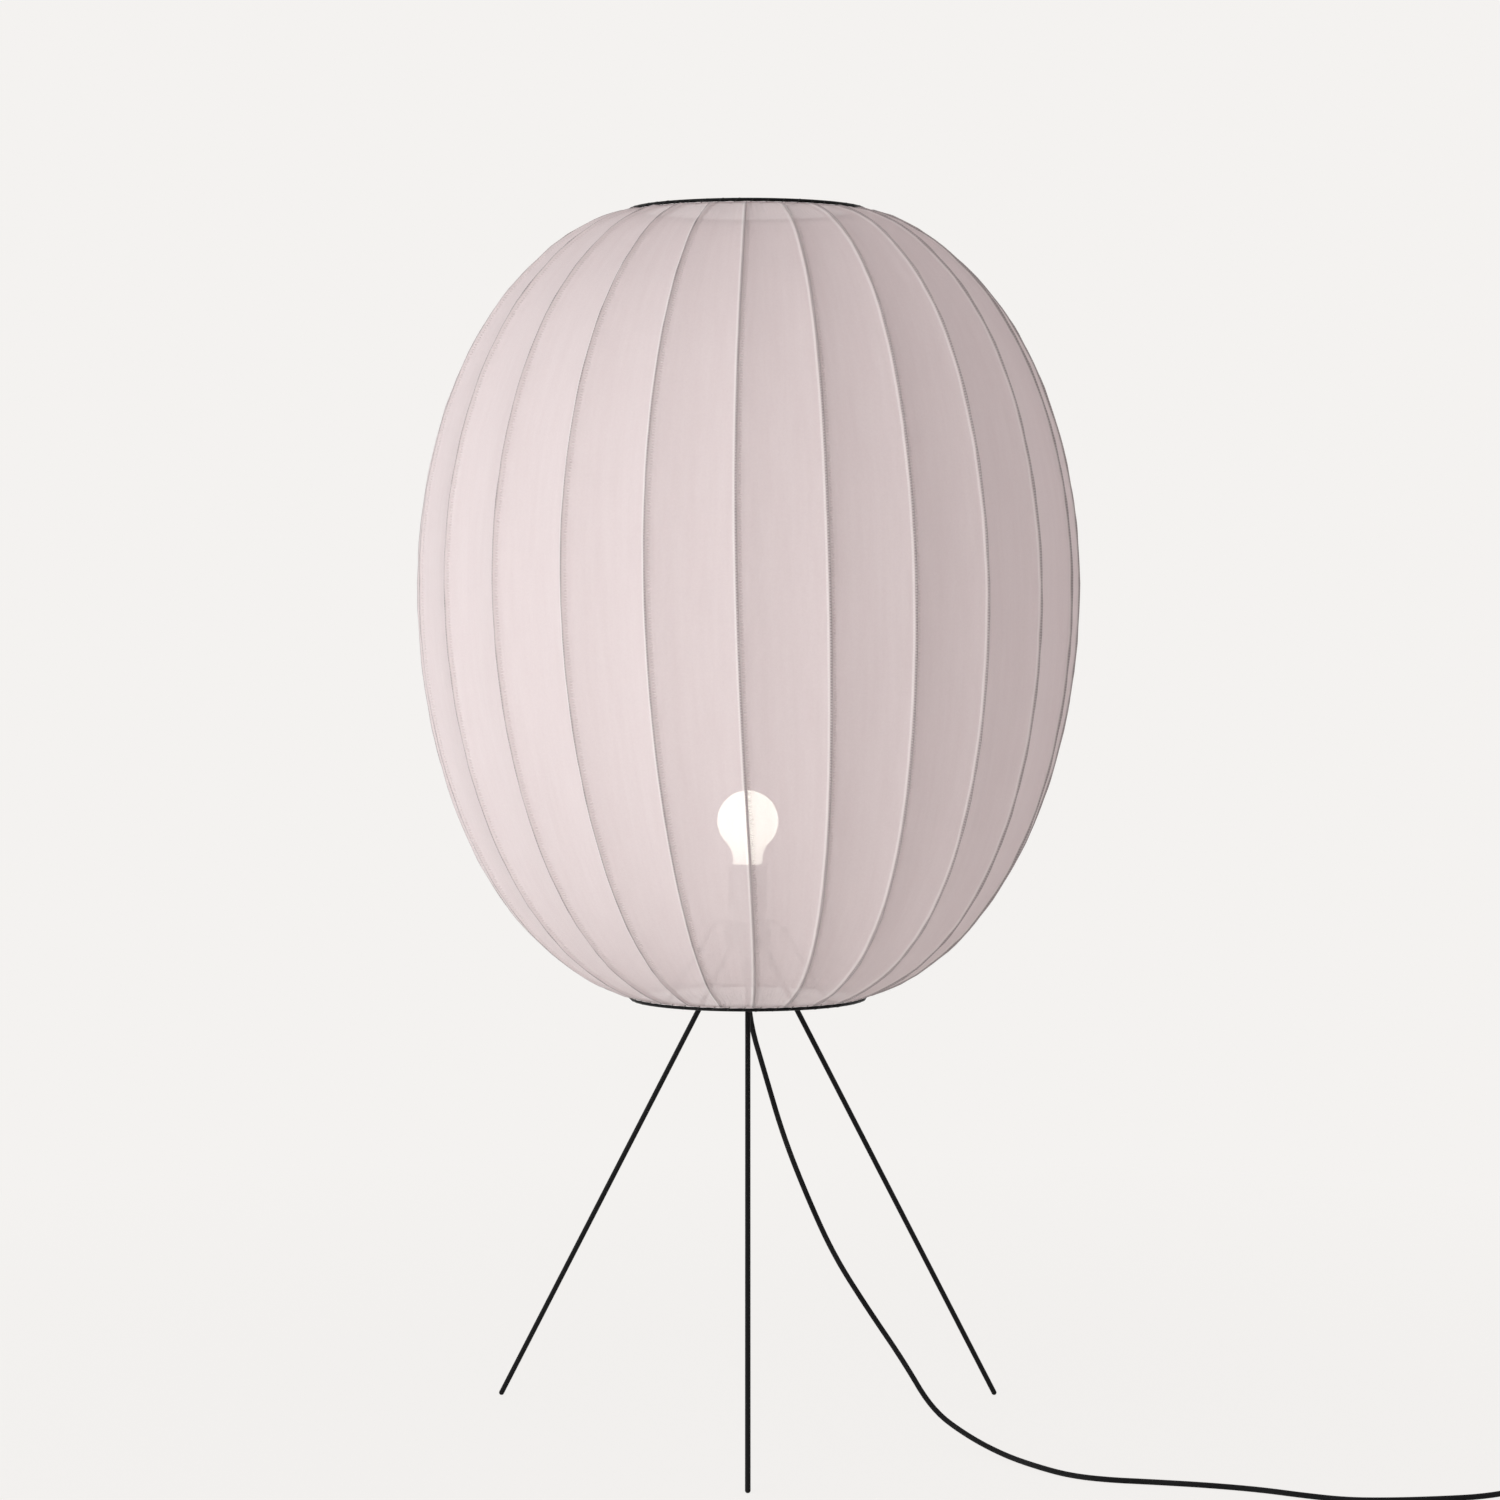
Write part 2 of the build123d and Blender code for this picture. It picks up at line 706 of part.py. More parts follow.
with BuildPart() as core_wires:
    for side in (-1, 1):
        start = Vector(side * 1.5 * core_radius, 0, inner_cord_top_z)
        end = Vector(side * terminal_offset, 0, insulator_z - terminal_screw_radius)
        with BuildSketch(Plane(origin=start, z_dir=end - start)):
            Circle(core_radius)
        extrude(amount=(end - start).length)
    split(bisect_by=Plane.XY.offset(inner_cord_top_z), keep=Keep.TOP)
    split(bisect_by=Plane.XY.offset(insulator_z - terminal_screw_radius), keep=Keep.BOTTOM)
core_wires.part.label = "core_wires"
export_step(core_wires.part, "parts/core_wires.step")

# Cord from the grip to the foot switch, hanging and then lying on the floor
whole_route = [(0, 0, grip_bottom_z)] + cord_route
route_radii = corner_radii(whole_route)
print("cord corner radii", [round(r) for r in route_radii])
with BuildPart() as cord:
    with BuildLine() as cord_path:
        FilletPolyline(*whole_route, radius=route_radii)
    with BuildSketch(Plane.XY.offset(grip_bottom_z)):
        Circle(cord_radius)
    sweep(path=cord_path.line)
cord_length = cord_path.wires()[0].length
print("cord length", round(cord_length))
print("cord solid to section times length", cord.part.volume / (pi * cord_radius**2 * cord_length))
cord.part.label = "cord"
export_step(cord.part, "parts/cord.step")

# Foot switch on the floor, in line with the cord's end
last_run = Vector(*cord_route[-1]) - Vector(*cord_route[-2])
heading = Vector(last_run.X, last_run.Y, 0).normalized()
inlet_z = cord_route[-1][2]
inlet_point = Vector(cord_route[-1][0], cord_route[-1][1], 0)
switch_middle = inlet_point + heading * (relief_length + switch_length / 2)
switch_floor = Plane(origin=switch_middle, x_dir=heading, z_dir=(0, 0, 1))
base_top_z = switch_foot_height + switch_base_height
base_floor_z = switch_foot_height + switch_wall
cover_top_z = base_top_z + switch_cover_height
inner_length = switch_length - 2 * switch_wall
inner_width = switch_width - 2 * switch_wall


def switch_ends(distance, direction):
    """Planes at both ends of the switch, square to the cord, normals outward or inward."""
    planes = []
    for side in (-1, 1):
        spot = switch_middle + heading * (side * distance) + Vector(0, 0, inlet_z)
        planes.append(Plane(origin=spot, z_dir=heading * (side * direction)))
    return planes


with BuildPart() as foot_switch_base:
    with BuildSketch(switch_floor.offset(switch_foot_height)):
        SlotOverall(switch_length, switch_width)
    extrude(amount=switch_base_height)
    chamfer(foot_switch_base.edges().group_by(Axis.Z)[0], switch_wall / 4)
    with BuildSketch(switch_floor.offset(base_floor_z)):
        SlotOverall(inner_length, inner_width)
    extrude(amount=switch_base_height, mode=Mode.SUBTRACT)
    with BuildSketch(switch_floor.offset(base_floor_z)):
        with GridLocations(*switch_screw_spacing, 2, 2):
            Circle(switch_boss_radius)
    extrude(amount=base_top_z - base_floor_z)
    with BuildSketch(switch_floor.offset(switch_foot_height)):
        with GridLocations(*switch_screw_spacing, 2, 2):
            Circle(switch_screw_radius + tube_clearance)
    extrude(amount=switch_base_height, mode=Mode.SUBTRACT)
    with BuildSketch(switch_floor.offset(switch_foot_height)):
        with GridLocations(*switch_screw_spacing, 2, 2):
            Circle(switch_screw_head + tube_clearance)
    extrude(amount=switch_wall / 2, mode=Mode.SUBTRACT)
    with BuildSketch(switch_floor.offset(base_floor_z)):
        Circle(post_radius)
    extrude(amount=post_height)
    for plane in switch_ends(switch_length / 2 + switch_wall, -1):
        with BuildSketch(plane):
            Circle(relief_root_radius)
        extrude(amount=4 * switch_wall, mode=Mode.SUBTRACT)
foot_switch_base.part.label = "foot_switch_base"
export_step(foot_switch_base.part, "parts/foot_switch_base.step")

with BuildPart() as foot_switch_cover:
    with BuildSketch(switch_floor.offset(base_top_z)):
        SlotOverall(switch_length, switch_width)
    extrude(amount=switch_cover_height)
    fillet(foot_switch_cover.edges().group_by(Axis.Z)[-1], switch_edge)
    with BuildSketch(switch_floor.offset(base_top_z)):
        SlotOverall(inner_length, inner_width)
    extrude(amount=switch_cover_height - switch_wall, taper=6, mode=Mode.SUBTRACT)
    with BuildSketch(switch_floor.offset(base_top_z)):
        with GridLocations(*switch_screw_spacing, 2, 2):
            Circle(switch_boss_radius)
    extrude(amount=switch_cover_height - switch_wall)
    with BuildSketch(switch_floor.offset(base_top_z)):
        with GridLocations(*switch_screw_spacing, 2, 2):
            Circle(switch_screw_radius + tube_clearance)
    extrude(amount=switch_cover_height / 2, mode=Mode.SUBTRACT)
    with BuildSketch(switch_floor.offset(base_top_z)):
        Circle(button_radius + button_clearance)
    extrude(amount=switch_cover_height, mode=Mode.SUBTRACT)
    for plane in switch_ends(switch_length / 2 + switch_wall, -1):
        with BuildSketch(plane):
            Circle(relief_root_radius)
        extrude(amount=4 * switch_wall, mode=Mode.SUBTRACT)
foot_switch_cover.part.label = "foot_switch_cover"
export_step(foot_switch_cover.part, "parts/foot_switch_cover.step")

with BuildPart() as foot_switch_screws:
    with BuildSketch(switch_floor.offset(switch_foot_height)):
        with GridLocations(*switch_screw_spacing, 2, 2):
            Circle(switch_screw_head)
    extrude(amount=switch_wall / 2)
    with BuildSketch(switch_floor.offset(switch_foot_height)):
        with GridLocations(*switch_screw_spacing, 2, 2):
            Circle(switch_screw_radius)
    extrude(amount=switch_base_height + switch_cover_height / 3)
foot_switch_screws.part.label = "foot_switch_screws"
export_step(foot_switch_screws.part, "parts/foot_switch_screws.step")

with BuildPart() as foot_switch_feet:
    with BuildSketch(switch_floor):
        with GridLocations(switch_screw_spacing[0] / 2, switch_screw_spacing[1], 2, 2):
            Circle(switch_boss_radius)
    extrude(amount=switch_foot_height)
foot_switch_feet.part.label = "foot_switch_feet"
export_step(foot_switch_feet.part, "parts/foot_switch_feet.step")

# Tapered strain reliefs at both ends of the switch
with BuildPart() as switch_reliefs:
    for plane in switch_ends(switch_length / 2 - switch_wall, 1):
        with BuildSketch(plane):
            Circle(relief_root_radius - button_clearance)
        extrude(amount=switch_wall)
    for plane in switch_ends(switch_length / 2, 1):
        with BuildSketch(plane):
            Circle(relief_root_radius - button_clearance)
        with BuildSketch(plane.offset(relief_length)):
            Circle(relief_tip_radius)
        loft()
switch_reliefs.part.label = "switch_reliefs"
export_step(switch_reliefs.part, "parts/switch_reliefs.step")

# Push button, held in by its flange, with a sleeve stem over the spring
flange_top_z = cover_top_z - switch_wall - button_clearance
flange_z = flange_top_z - button_flange
button_top_z = cover_top_z + button_rise
bridge_z = base_floor_z + blade_height + contact_gap + button_travel
stem_z = bridge_z + bridge_thickness
with BuildPart() as foot_switch_button:
    with BuildSketch(switch_floor.offset(flange_z)):
        Circle(button_radius)
    extrude(amount=button_top_z - flange_z)
    fillet(foot_switch_button.edges().group_by(Axis.Z)[-1], button_rise / 3)
    with BuildSketch(switch_floor.offset(flange_z)):
        Circle(button_radius + button_flange)
    extrude(amount=button_flange)
    with BuildSketch(switch_floor.offset(stem_z)):
        Circle(button_stem_radius)
    extrude(amount=flange_z - stem_z)
    with BuildSketch(switch_floor.offset(stem_z)):
        Circle(button_stem_bore)
    extrude(amount=flange_z - stem_z, mode=Mode.SUBTRACT)
foot_switch_button.part.label = "foot_switch_button"
export_step(foot_switch_button.part, "parts/foot_switch_button.step")

with BuildPart() as contact_bridge:
    with BuildSketch(switch_floor.offset(bridge_z)):
        Circle(bridge_radius)
        Circle(button_stem_bore, mode=Mode.SUBTRACT)
    extrude(amount=bridge_thickness)
contact_bridge.part.label = "contact_bridge"
export_step(contact_bridge.part, "parts/contact_bridge.step")

blade_offset = bridge_radius + blade_size[0] / 4
with BuildPart() as switch_terminals:
    with BuildSketch(switch_floor.offset(base_floor_z)):
        with Locations((-blade_offset, 0), (blade_offset, 0)):
            Rectangle(*blade_size)
    extrude(amount=blade_height)
switch_terminals.part.label = "switch_terminals"
export_step(switch_terminals.part, "parts/switch_terminals.step")

# Cores of the cord inside the switch: one broken at the terminals, one passing by the posts
core_z = base_floor_z + core_radius
core_start = inner_length / 2 - switch_wall
passing_x = switch_screw_spacing[0] / 2 - 2.5 * switch_boss_radius
boss_y = switch_screw_spacing[1] / 2
with BuildPart() as switch_wires:
    for side in (-1, 1):
        blade_reach = blade_offset + blade_size[0] / 2
        blade_end = switch_middle + heading * (side * blade_reach) + Vector(0, 0, core_z)
        with BuildSketch(Plane(origin=blade_end, z_dir=heading * side)):
            Circle(core_radius)
        extrude(amount=core_start - blade_reach)
    with BuildLine(switch_floor.offset(core_z)) as passing_line:
        FilletPolyline(
            (-core_start, -3 * core_radius),
            (-passing_x, -3 * core_radius),
            (-passing_x, -boss_y - 1.5 * switch_boss_radius),
            (passing_x, -boss_y - 1.5 * switch_boss_radius),
            (passing_x, -3 * core_radius),
            (core_start, -3 * core_radius),
            radius=core_radius,
        )
    with BuildSketch(Plane(origin=passing_line.line @ 0, z_dir=passing_line.line % 0)):
        Circle(core_radius)
    sweep(path=passing_line.line)
switch_wires.part.label = "switch_wires"
export_step(switch_wires.part, "parts/switch_wires.step")

# Return spring between the base and the button
spring_low_z = base_floor_z + spring_wire / 2 + seat_gap
spring_high_z = flange_z - spring_wire / 2 - seat_gap
spring_points, spring_directions = [], []
for quarter in range(4 * spring_turns + 1):
    angle = quarter * pi / 2
    climb = (spring_high_z - spring_low_z) / (spring_turns * 2 * pi)
    spring_points.append(
        Vector(
            switch_middle.X + spring_radius * cos(angle),
            switch_middle.Y + spring_radius * sin(angle),
            spring_low_z + climb * angle,
        )
    )
    spring_directions.append(
        Vector(-spring_radius * sin(angle), spring_radius * cos(angle), climb).normalized()
    )
with BuildPart() as button_spring:
    with BuildLine() as spring_path:
        smooth_arcs(spring_points, spring_directions)
    with BuildSketch(Plane(origin=spring_points[0], z_dir=spring_directions[0])):
        Circle(spring_wire / 2)
    sweep(path=spring_path.line)
button_spring.part.label = "button_spring"
export_step(button_spring.part, "parts/button_spring.step")

# Coil: the cord's unseen length, wound in and out again in two layers on the floor
left = Vector(-heading.Y, heading.X, 0)
outlet = switch_middle + heading * (relief_length + switch_length / 2)
layer_turns = (coil_turns - 0.5) / 2
coil_mean = coil_middle * cord_diameter / 2
coil_outer = coil_mean + coil_pitch * layer_turns / 2
coil_inner = coil_mean - coil_pitch * layer_turns / 2
coil_low_z = tie_thickness + tie_clearance + cord_radius
coil_climb = cord_diameter + coil_layer_gap
coil_centre = outlet + heading * coil_lead + left * coil_outer
start_angle = atan2(-left.Y, -left.X)


def coil_spot(turns):
    """A point on the coil's centre line, a number of turns from its start."""
    if turns <= layer_turns:
        radius, rise = coil_outer - coil_pitch * turns, 0
    elif turns <= layer_turns + 0.5:
        radius, rise = coil_inner, (1 - cos((turns - layer_turns) * 2 * pi)) / 2
    else:
        radius, rise = coil_inner + coil_pitch * (turns - layer_turns - 0.5), 1
    angle = start_angle + turns * 2 * pi
    flat = Vector(radius * cos(angle), radius * sin(angle), coil_low_z + coil_climb * rise)
    return coil_centre + flat


coil_exit = coil_spot(coil_turns)
plug_cord_z = plug_thickness / 2
plug_mouth = Vector(coil_exit.X, coil_exit.Y, plug_cord_z) - heading * coil_lead
coil_points = [outlet + Vector(0, 0, inlet_z) + heading * cord_diameter]
coil_directions = [heading]
for quarter in range(int(4 * coil_turns) + 1):
    turns = quarter / 4
    before, after = max(0, turns - step), min(coil_turns, turns + step)
    coil_points.append(coil_spot(turns))
    coil_directions.append((coil_spot(after) - coil_spot(before)).normalized())
coil_points.append(plug_mouth + heading * cord_diameter)
coil_directions.append(heading * -1)
with BuildPart() as cord_coil:
    with BuildLine() as coil_path:
        Line(coil_points[0] - heading * cord_diameter, coil_points[0])
        smooth_arcs(coil_points, coil_directions)
        Line(coil_points[-1], plug_mouth)
    with BuildSketch(Plane(origin=coil_points[0] - heading * cord_diameter, z_dir=heading)):
        Circle(cord_radius)
    sweep(path=coil_path.line)
cord_coil.part.label = "cord_coil"
export_step(cord_coil.part, "parts/cord_coil.step")

coil_wire = coil_path.wires()[0]
coil_length = coil_wire.length
samples = [coil_wire @ (i / 900) for i in range(901)]
apart = int(ceil(coil_inner * pi / coil_length * 900))
least_gap = min(
    (samples[i] - samples[j]).length for i in range(901) for j in range(i + apart, 901)
)
print("coil length", round(coil_length), "least gap", round(least_gap - cord_diameter, 2))
print("coil bends", round(coil_inner / cord_diameter, 1), "diameters at least")
print("whole cord", round(cord_length + coil_length))

# Tie round the coil, on the side away from the switch
tie_hole = (
    coil_pitch * layer_turns + cord_diameter + 2 * tie_clearance,
    coil_climb + cord_diameter + 2 * tie_clearance,
)
tie_spot = coil_centre + heading * coil_mean - left * (tie_width / 2)
tie_plane = Plane(origin=tie_spot + Vector(0, 0, coil_low_z + coil_climb / 2), x_dir=heading, z_dir=left)
with BuildPart() as coil_tie:
    with BuildSketch(tie_plane):
        RectangleRounded(tie_hole[0] + 2 * tie_thickness, tie_hole[1] + 2 * tie_thickness, cord_radius)
        RectangleRounded(*tie_hole, cord_radius - tie_thickness, mode=Mode.SUBTRACT)
    extrude(amount=tie_width)
coil_tie.part.label = "coil_tie"
export_step(coil_tie.part, "parts/coil_tie.step")

# Plug: a flat two-pin body with its moulded strain relief
plug_back = plug_mouth - heading * relief_length
plug_axis = Plane(origin=Vector(plug_back.X, plug_back.Y, plug_cord_z), x_dir=left, z_dir=heading * -1)
with BuildPart() as plug_body:
    with BuildSketch(plug_axis.offset(-relief_length)):
        Circle(relief_tip_radius)
    with BuildSketch(plug_axis):
        Circle(relief_root_radius)
    loft()
    with BuildSketch(plug_axis):
        RectangleRounded(plug_neck_width, plug_neck_thickness, plug_edge)
    with BuildSketch(plug_axis.offset(plug_length - plug_nose)):
        RectangleRounded(plug_width, plug_thickness, plug_edge)
    loft()
    with BuildSketch(plug_axis.offset(plug_length - plug_nose)):
        RectangleRounded(plug_width, plug_thickness, plug_edge)
    extrude(amount=plug_nose)
plug_body.part.label = "plug_body"
export_step(plug_body.part, "parts/plug_body.step")

plug_face = plug_axis.offset(plug_length)
with BuildPart() as plug_pins:
    with BuildSketch(plug_face.offset(pin_sleeve_length)):
        with GridLocations(pin_spacing, 0, 2, 1):
            Circle(pin_radius)
    extrude(amount=pin_length - pin_sleeve_length)
    fillet(plug_pins.edges().group_by(Axis(origin=(0, 0, 0), direction=heading * -1))[-1], pin_radius / 2)
plug_pins.part.label = "plug_pins"
export_step(plug_pins.part, "parts/plug_pins.step")

with BuildPart() as pin_sleeves:
    with BuildSketch(plug_face):
        with GridLocations(pin_spacing, 0, 2, 1):
            Circle(pin_sleeve_radius)
    extrude(amount=pin_sleeve_length)
pin_sleeves.part.label = "pin_sleeves"
export_step(pin_sleeves.part, "parts/pin_sleeves.step")

print("top ring", round(top_ring_z, 1), "bottom ring", round(bottom_ring_z, 1))
print("hub", round(hub_bottom_z, 1), "holder", round(holder_bottom_z, 1), round(holder_top_z, 1))
print("bulb top", round(bulb_top_z, 1), "grip bottom", round(grip_bottom_z, 1))
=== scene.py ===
from math import atan2, cos, exp, hypot, pi, radians, sin

import bmesh
import bpy
from mathutils import Matrix, Vector


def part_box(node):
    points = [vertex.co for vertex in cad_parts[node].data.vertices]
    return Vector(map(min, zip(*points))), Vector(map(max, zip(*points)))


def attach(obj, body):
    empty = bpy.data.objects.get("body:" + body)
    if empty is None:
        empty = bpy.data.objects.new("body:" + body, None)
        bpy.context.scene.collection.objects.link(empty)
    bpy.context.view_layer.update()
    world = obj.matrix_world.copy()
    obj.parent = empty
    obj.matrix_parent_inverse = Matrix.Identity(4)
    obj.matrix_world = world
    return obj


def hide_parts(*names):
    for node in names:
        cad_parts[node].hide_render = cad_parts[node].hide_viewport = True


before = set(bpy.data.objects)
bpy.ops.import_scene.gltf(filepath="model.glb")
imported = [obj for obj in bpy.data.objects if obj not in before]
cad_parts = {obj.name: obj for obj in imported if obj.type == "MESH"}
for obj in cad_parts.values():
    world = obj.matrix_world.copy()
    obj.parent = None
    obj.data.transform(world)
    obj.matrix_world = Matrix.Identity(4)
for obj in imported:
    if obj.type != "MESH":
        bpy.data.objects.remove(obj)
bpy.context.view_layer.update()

# The view: far in front of the lamp, level with the lower part of its shade and turned
# slightly down, so that the rings stay nearly edge-on and the feet spread on the floor.
picture_columns = 1500
axis_column = 747.8
focal_columns = 3963.4
view = bpy.data.cameras.new("view")
view.sensor_width = 36
view.lens = focal_columns / picture_columns * view.sensor_width
view.shift_x = (picture_columns / 2 - axis_column) / picture_columns
camera = bpy.data.objects.new("view", view)
camera.location = (0, -3.8877, 0.8352)
camera.rotation_euler = (pi / 2 - radians(2.46), 0, 0)
bpy.context.scene.collection.objects.link(camera)
bpy.context.scene.camera = camera
bpy.context.scene.view_settings.view_transform = "Standard"


def add_node(tree, kind, inputs=None, **fields):
    """One shader node with its fields set and its sockets filled or linked."""
    made = tree.nodes.new("ShaderNode" + kind)
    for field, value in fields.items():
        setattr(made, field, value)
    for socket, value in (inputs or {}).items():
        if isinstance(value, bpy.types.NodeSocket):
            tree.links.new(value, made.inputs[socket])
        else:
            made.inputs[socket].default_value = value
    return made


def new_material(name):
    """An empty node material and its output node."""
    material = bpy.data.materials.new(name)
    material.use_nodes = True
    material.node_tree.nodes.clear()
    return material, material.node_tree, material.node_tree.nodes.new("ShaderNodeOutputMaterial")


def mix_tones(tree, share, first, second):
    """A colour at a share of the way between two, each given as a tone or as a socket."""
    ends = [end if isinstance(end, bpy.types.NodeSocket) else (*end, 1) for end in (first, second)]
    return add_node(tree, "Mix", {0: share, 6: ends[0], 7: ends[1]}, data_type="RGBA").outputs[2]


def plain_rays(tree):
    """1 for what the camera sees straight, in a reflection or through glass, else 0."""
    path = add_node(tree, "LightPath")
    rays = path.outputs["Is Camera Ray"]
    for kind in ("Is Glossy Ray", "Is Transmission Ray"):
        rays = add_node(tree, "Math", {0: rays, 1: path.outputs[kind]}, operation="MAXIMUM").outputs[0]
    return rays


# The studio: a paper floor and backdrop of one pale tone, a wide soft lamp at the left,
# and a weaker one at each edge, and even light from all round.
paper = (0.905, 0.888, 0.871, 1)
room_light = (1.0, 0.985, 0.975, 1)
room_strength = 0.56
shadow_share = 0.07
world = bpy.data.worlds.new("studio")
bpy.context.scene.world = world
world.use_nodes = True
world.node_tree.nodes.clear()
sky = world.node_tree
plain = add_node(sky, "Background", {"Color": paper, "Strength": 1})
lit = add_node(sky, "Background", {"Color": room_light, "Strength": room_strength})
choice = add_node(sky, "MixShader", {0: plain_rays(sky), 1: lit.outputs[0], 2: plain.outputs[0]})
add_node(sky, "OutputWorld", {"Surface": choice.outputs[0]})

# Paper floor: it shows its own tone, with only a breath of the lamp's shadow on it
material, tree, output = new_material("paper_floor")
place = add_node(tree, "TexCoord")
reach = add_node(tree, "VectorMath", {0: place.outputs["Object"]}, operation="LENGTH")
near = add_node(
    tree, "MapRange",
    {"Value": reach.outputs["Value"], "From Min": 0.5, "From Max": 1.8, "To Min": shadow_share, "To Max": 0},
)
own = add_node(tree, "Emission", {"Color": paper, "Strength": 1})
shaded = add_node(tree, "BsdfDiffuse", {"Color": paper})
soft = add_node(tree, "MixShader", {0: near.outputs[0], 1: own.outputs[0], 2: shaded.outputs[0]})
choice = add_node(tree, "MixShader", {0: plain_rays(tree), 1: shaded.outputs[0], 2: soft.outputs[0]})
tree.links.new(choice.outputs[0], output.inputs["Surface"])
mesh = bpy.data.meshes.new("floor")
form = bmesh.new()
bmesh.ops.create_grid(form, x_segments=1, y_segments=1, size=60)
form.to_mesh(mesh)
form.free()
mesh.materials.append(material)
floor_sheet = bpy.data.objects.new("floor", mesh)
floor_sheet.location.z = -0.0002
bpy.context.scene.collection.objects.link(floor_sheet)


def studio_lamp(name, place, aim, size, power, tone=(1, 1, 1)):
    """A square soft lamp at a place, aimed at a point."""
    lamp = bpy.data.lights.new(name, "AREA")
    lamp.size = size
    lamp.energy = power
    lamp.color = tone
    holder = bpy.data.objects.new(name, lamp)
    holder.location = place
    holder.rotation_euler = (Vector(aim) - Vector(place)).to_track_quat("-Z", "Y").to_euler()
    bpy.context.scene.collection.objects.link(holder)
    return holder


studio_lamp("key", (-2.2, -3.15, 0.95), (0, 0, 0.8), 2.0, 78, (0.985, 0.988, 0.975))
studio_lamp("edge", (-3.0, 0.3, 0.9), (0, 0, 0.8), 1.6, 19, (0.82, 0.97, 1.0))
studio_lamp("rim", (2.6, 1.5, 1.0), (0, 0, 0.8), 1.6, 7, (0.93, 0.96, 1.0))

# Cord: a round two-core lead in a black braided cover. It hangs from its grip under the
# hub, comes down beside the front leg and lies along the floor to the foot switch.
cord_diameter = 0.0052
cord_start = Vector((0, 0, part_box("cord_grip")[0].z))
cord_route = [
    (0, 0, 0.407),
    (0.017, -0.003, 0.349),
    (0.035, -0.007, 0.288),
    (0.058, -0.012, 0.23),
    (0.084, -0.019, 0.173),
    (0.117, -0.029, 0.122),
    (0.152, -0.046, 0.073),
    (0.179, -0.072, 0.03),
    (0.212, -0.108, 0.012),
    (0.244, -0.152, 0.0035),
    (0.272, -0.197, 0.0027),
    (0.299, -0.233, 0.0027),
    (0.332, -0.251, 0.0027),
    (0.375, -0.26, 0.0027),
    (0.424, -0.273, 0.0027),
    (0.47, -0.291, 0.0027),
    (0.508, -0.315, 0.0027),
    (0.543, -0.332, 0.0027),
    (0.584, -0.333, 0.0027),
    (0.629, -0.327, 0.0027),
    (0.668, -0.3195, 0.003),
    (0.702, -0.3072, 0.0056),
    (0.736, -0.2948, 0.0056),
]


def round_cord(name, points):
    """A cord along a smooth line that its points draw, square at both ends.

    Its thickness is the points' own radius.
    """
    curve = bpy.data.curves.new(name, "CURVE")
    curve.dimensions = "3D"
    curve.resolution_u = 6
    curve.bevel_depth = 1
    curve.bevel_resolution = 5
    curve.use_fill_caps = True
    line = curve.splines.new("NURBS")
    line.points.add(len(points) - 1)
    for point, spot in zip(line.points, points):
        point.co = (*spot, 1)
        point.radius = cord_diameter / 2
    line.order_u = 3
    line.use_endpoint_u = True
    piece = bpy.data.objects.new(name, curve)
    bpy.context.scene.collection.objects.link(piece)
    return piece


cord = round_cord("cord_to_switch", [cord_start, *cord_route])
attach(cord, "root")
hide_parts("cord")

# Coil: the cord's spare length behind the foot switch, wound in and out again in two
# layers and tied, with the plug lying beside it.
relief_length = 0.02
switch_length = 0.084
coil_turns = 6.5
coil_middle = 12 * cord_diameter / 2
coil_pitch = 0.0066
coil_lead = 0.025
coil_low = 0.0008 + 0.0005 + cord_diameter / 2
coil_climb = cord_diameter + 0.0005
steps_per_turn = 16
last_run = Vector(cord_route[-1]) - Vector(cord_route[-2])
heading = Vector((last_run.x, last_run.y, 0)).normalized()
left = Vector((-heading.y, heading.x, 0))
inlet = Vector(cord_route[-1])
outlet = inlet + heading * (2 * relief_length + switch_length)
layer_turns = (coil_turns - 0.5) / 2
coil_outer = coil_middle + coil_pitch * layer_turns / 2
coil_inner = coil_middle - coil_pitch * layer_turns / 2
coil_centre = outlet + heading * coil_lead + left * coil_outer
coil_centre.z = 0
start_angle = atan2(-left.y, -left.x)


def coil_spot(turns, swell=1):
    """A point of the coil's line, a number of turns from its start."""
    if turns <= layer_turns:
        radius, rise = coil_outer - coil_pitch * turns, 0
    elif turns <= layer_turns + 0.5:
        radius, rise = coil_inner, (1 - cos((turns - layer_turns) * 2 * pi)) / 2
    else:
        radius, rise = coil_inner + coil_pitch * (turns - layer_turns - 0.5), 1
    angle = start_angle + turns * 2 * pi
    flat = Vector((cos(angle), sin(angle), 0)) * (radius * swell)
    return coil_centre + flat + Vector((0, 0, coil_low + coil_climb * rise))


swell = 1 / cos(pi / steps_per_turn)
coil_points = [
    coil_spot(step / steps_per_turn, swell) for step in range(1, int(coil_turns * steps_per_turn))
]
coil_exit = coil_spot(coil_turns)
plug_low, plug_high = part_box("plug_body")
plug_mouth = coil_exit - heading * coil_lead
plug_mouth.z = (plug_low.z + plug_high.z) / 2
tail_points = [
    outlet,
    outlet + heading * cord_diameter,
    coil_spot(0) - heading * cord_diameter,
    *coil_points,
    coil_exit - heading * cord_diameter,
    plug_mouth + heading * cord_diameter,
    plug_mouth,
]
cord_tail = round_cord("cord_to_plug", tail_points)
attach(cord_tail, "root")
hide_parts("cord_coil")


# Cord cover: polyester yarn braided over the cores, matt black, with its strands crossing
# in two slants, painted shade in their hollows and painted highlight on their crests, and a few fibres
# standing paler than the rest.
strands_round = 12


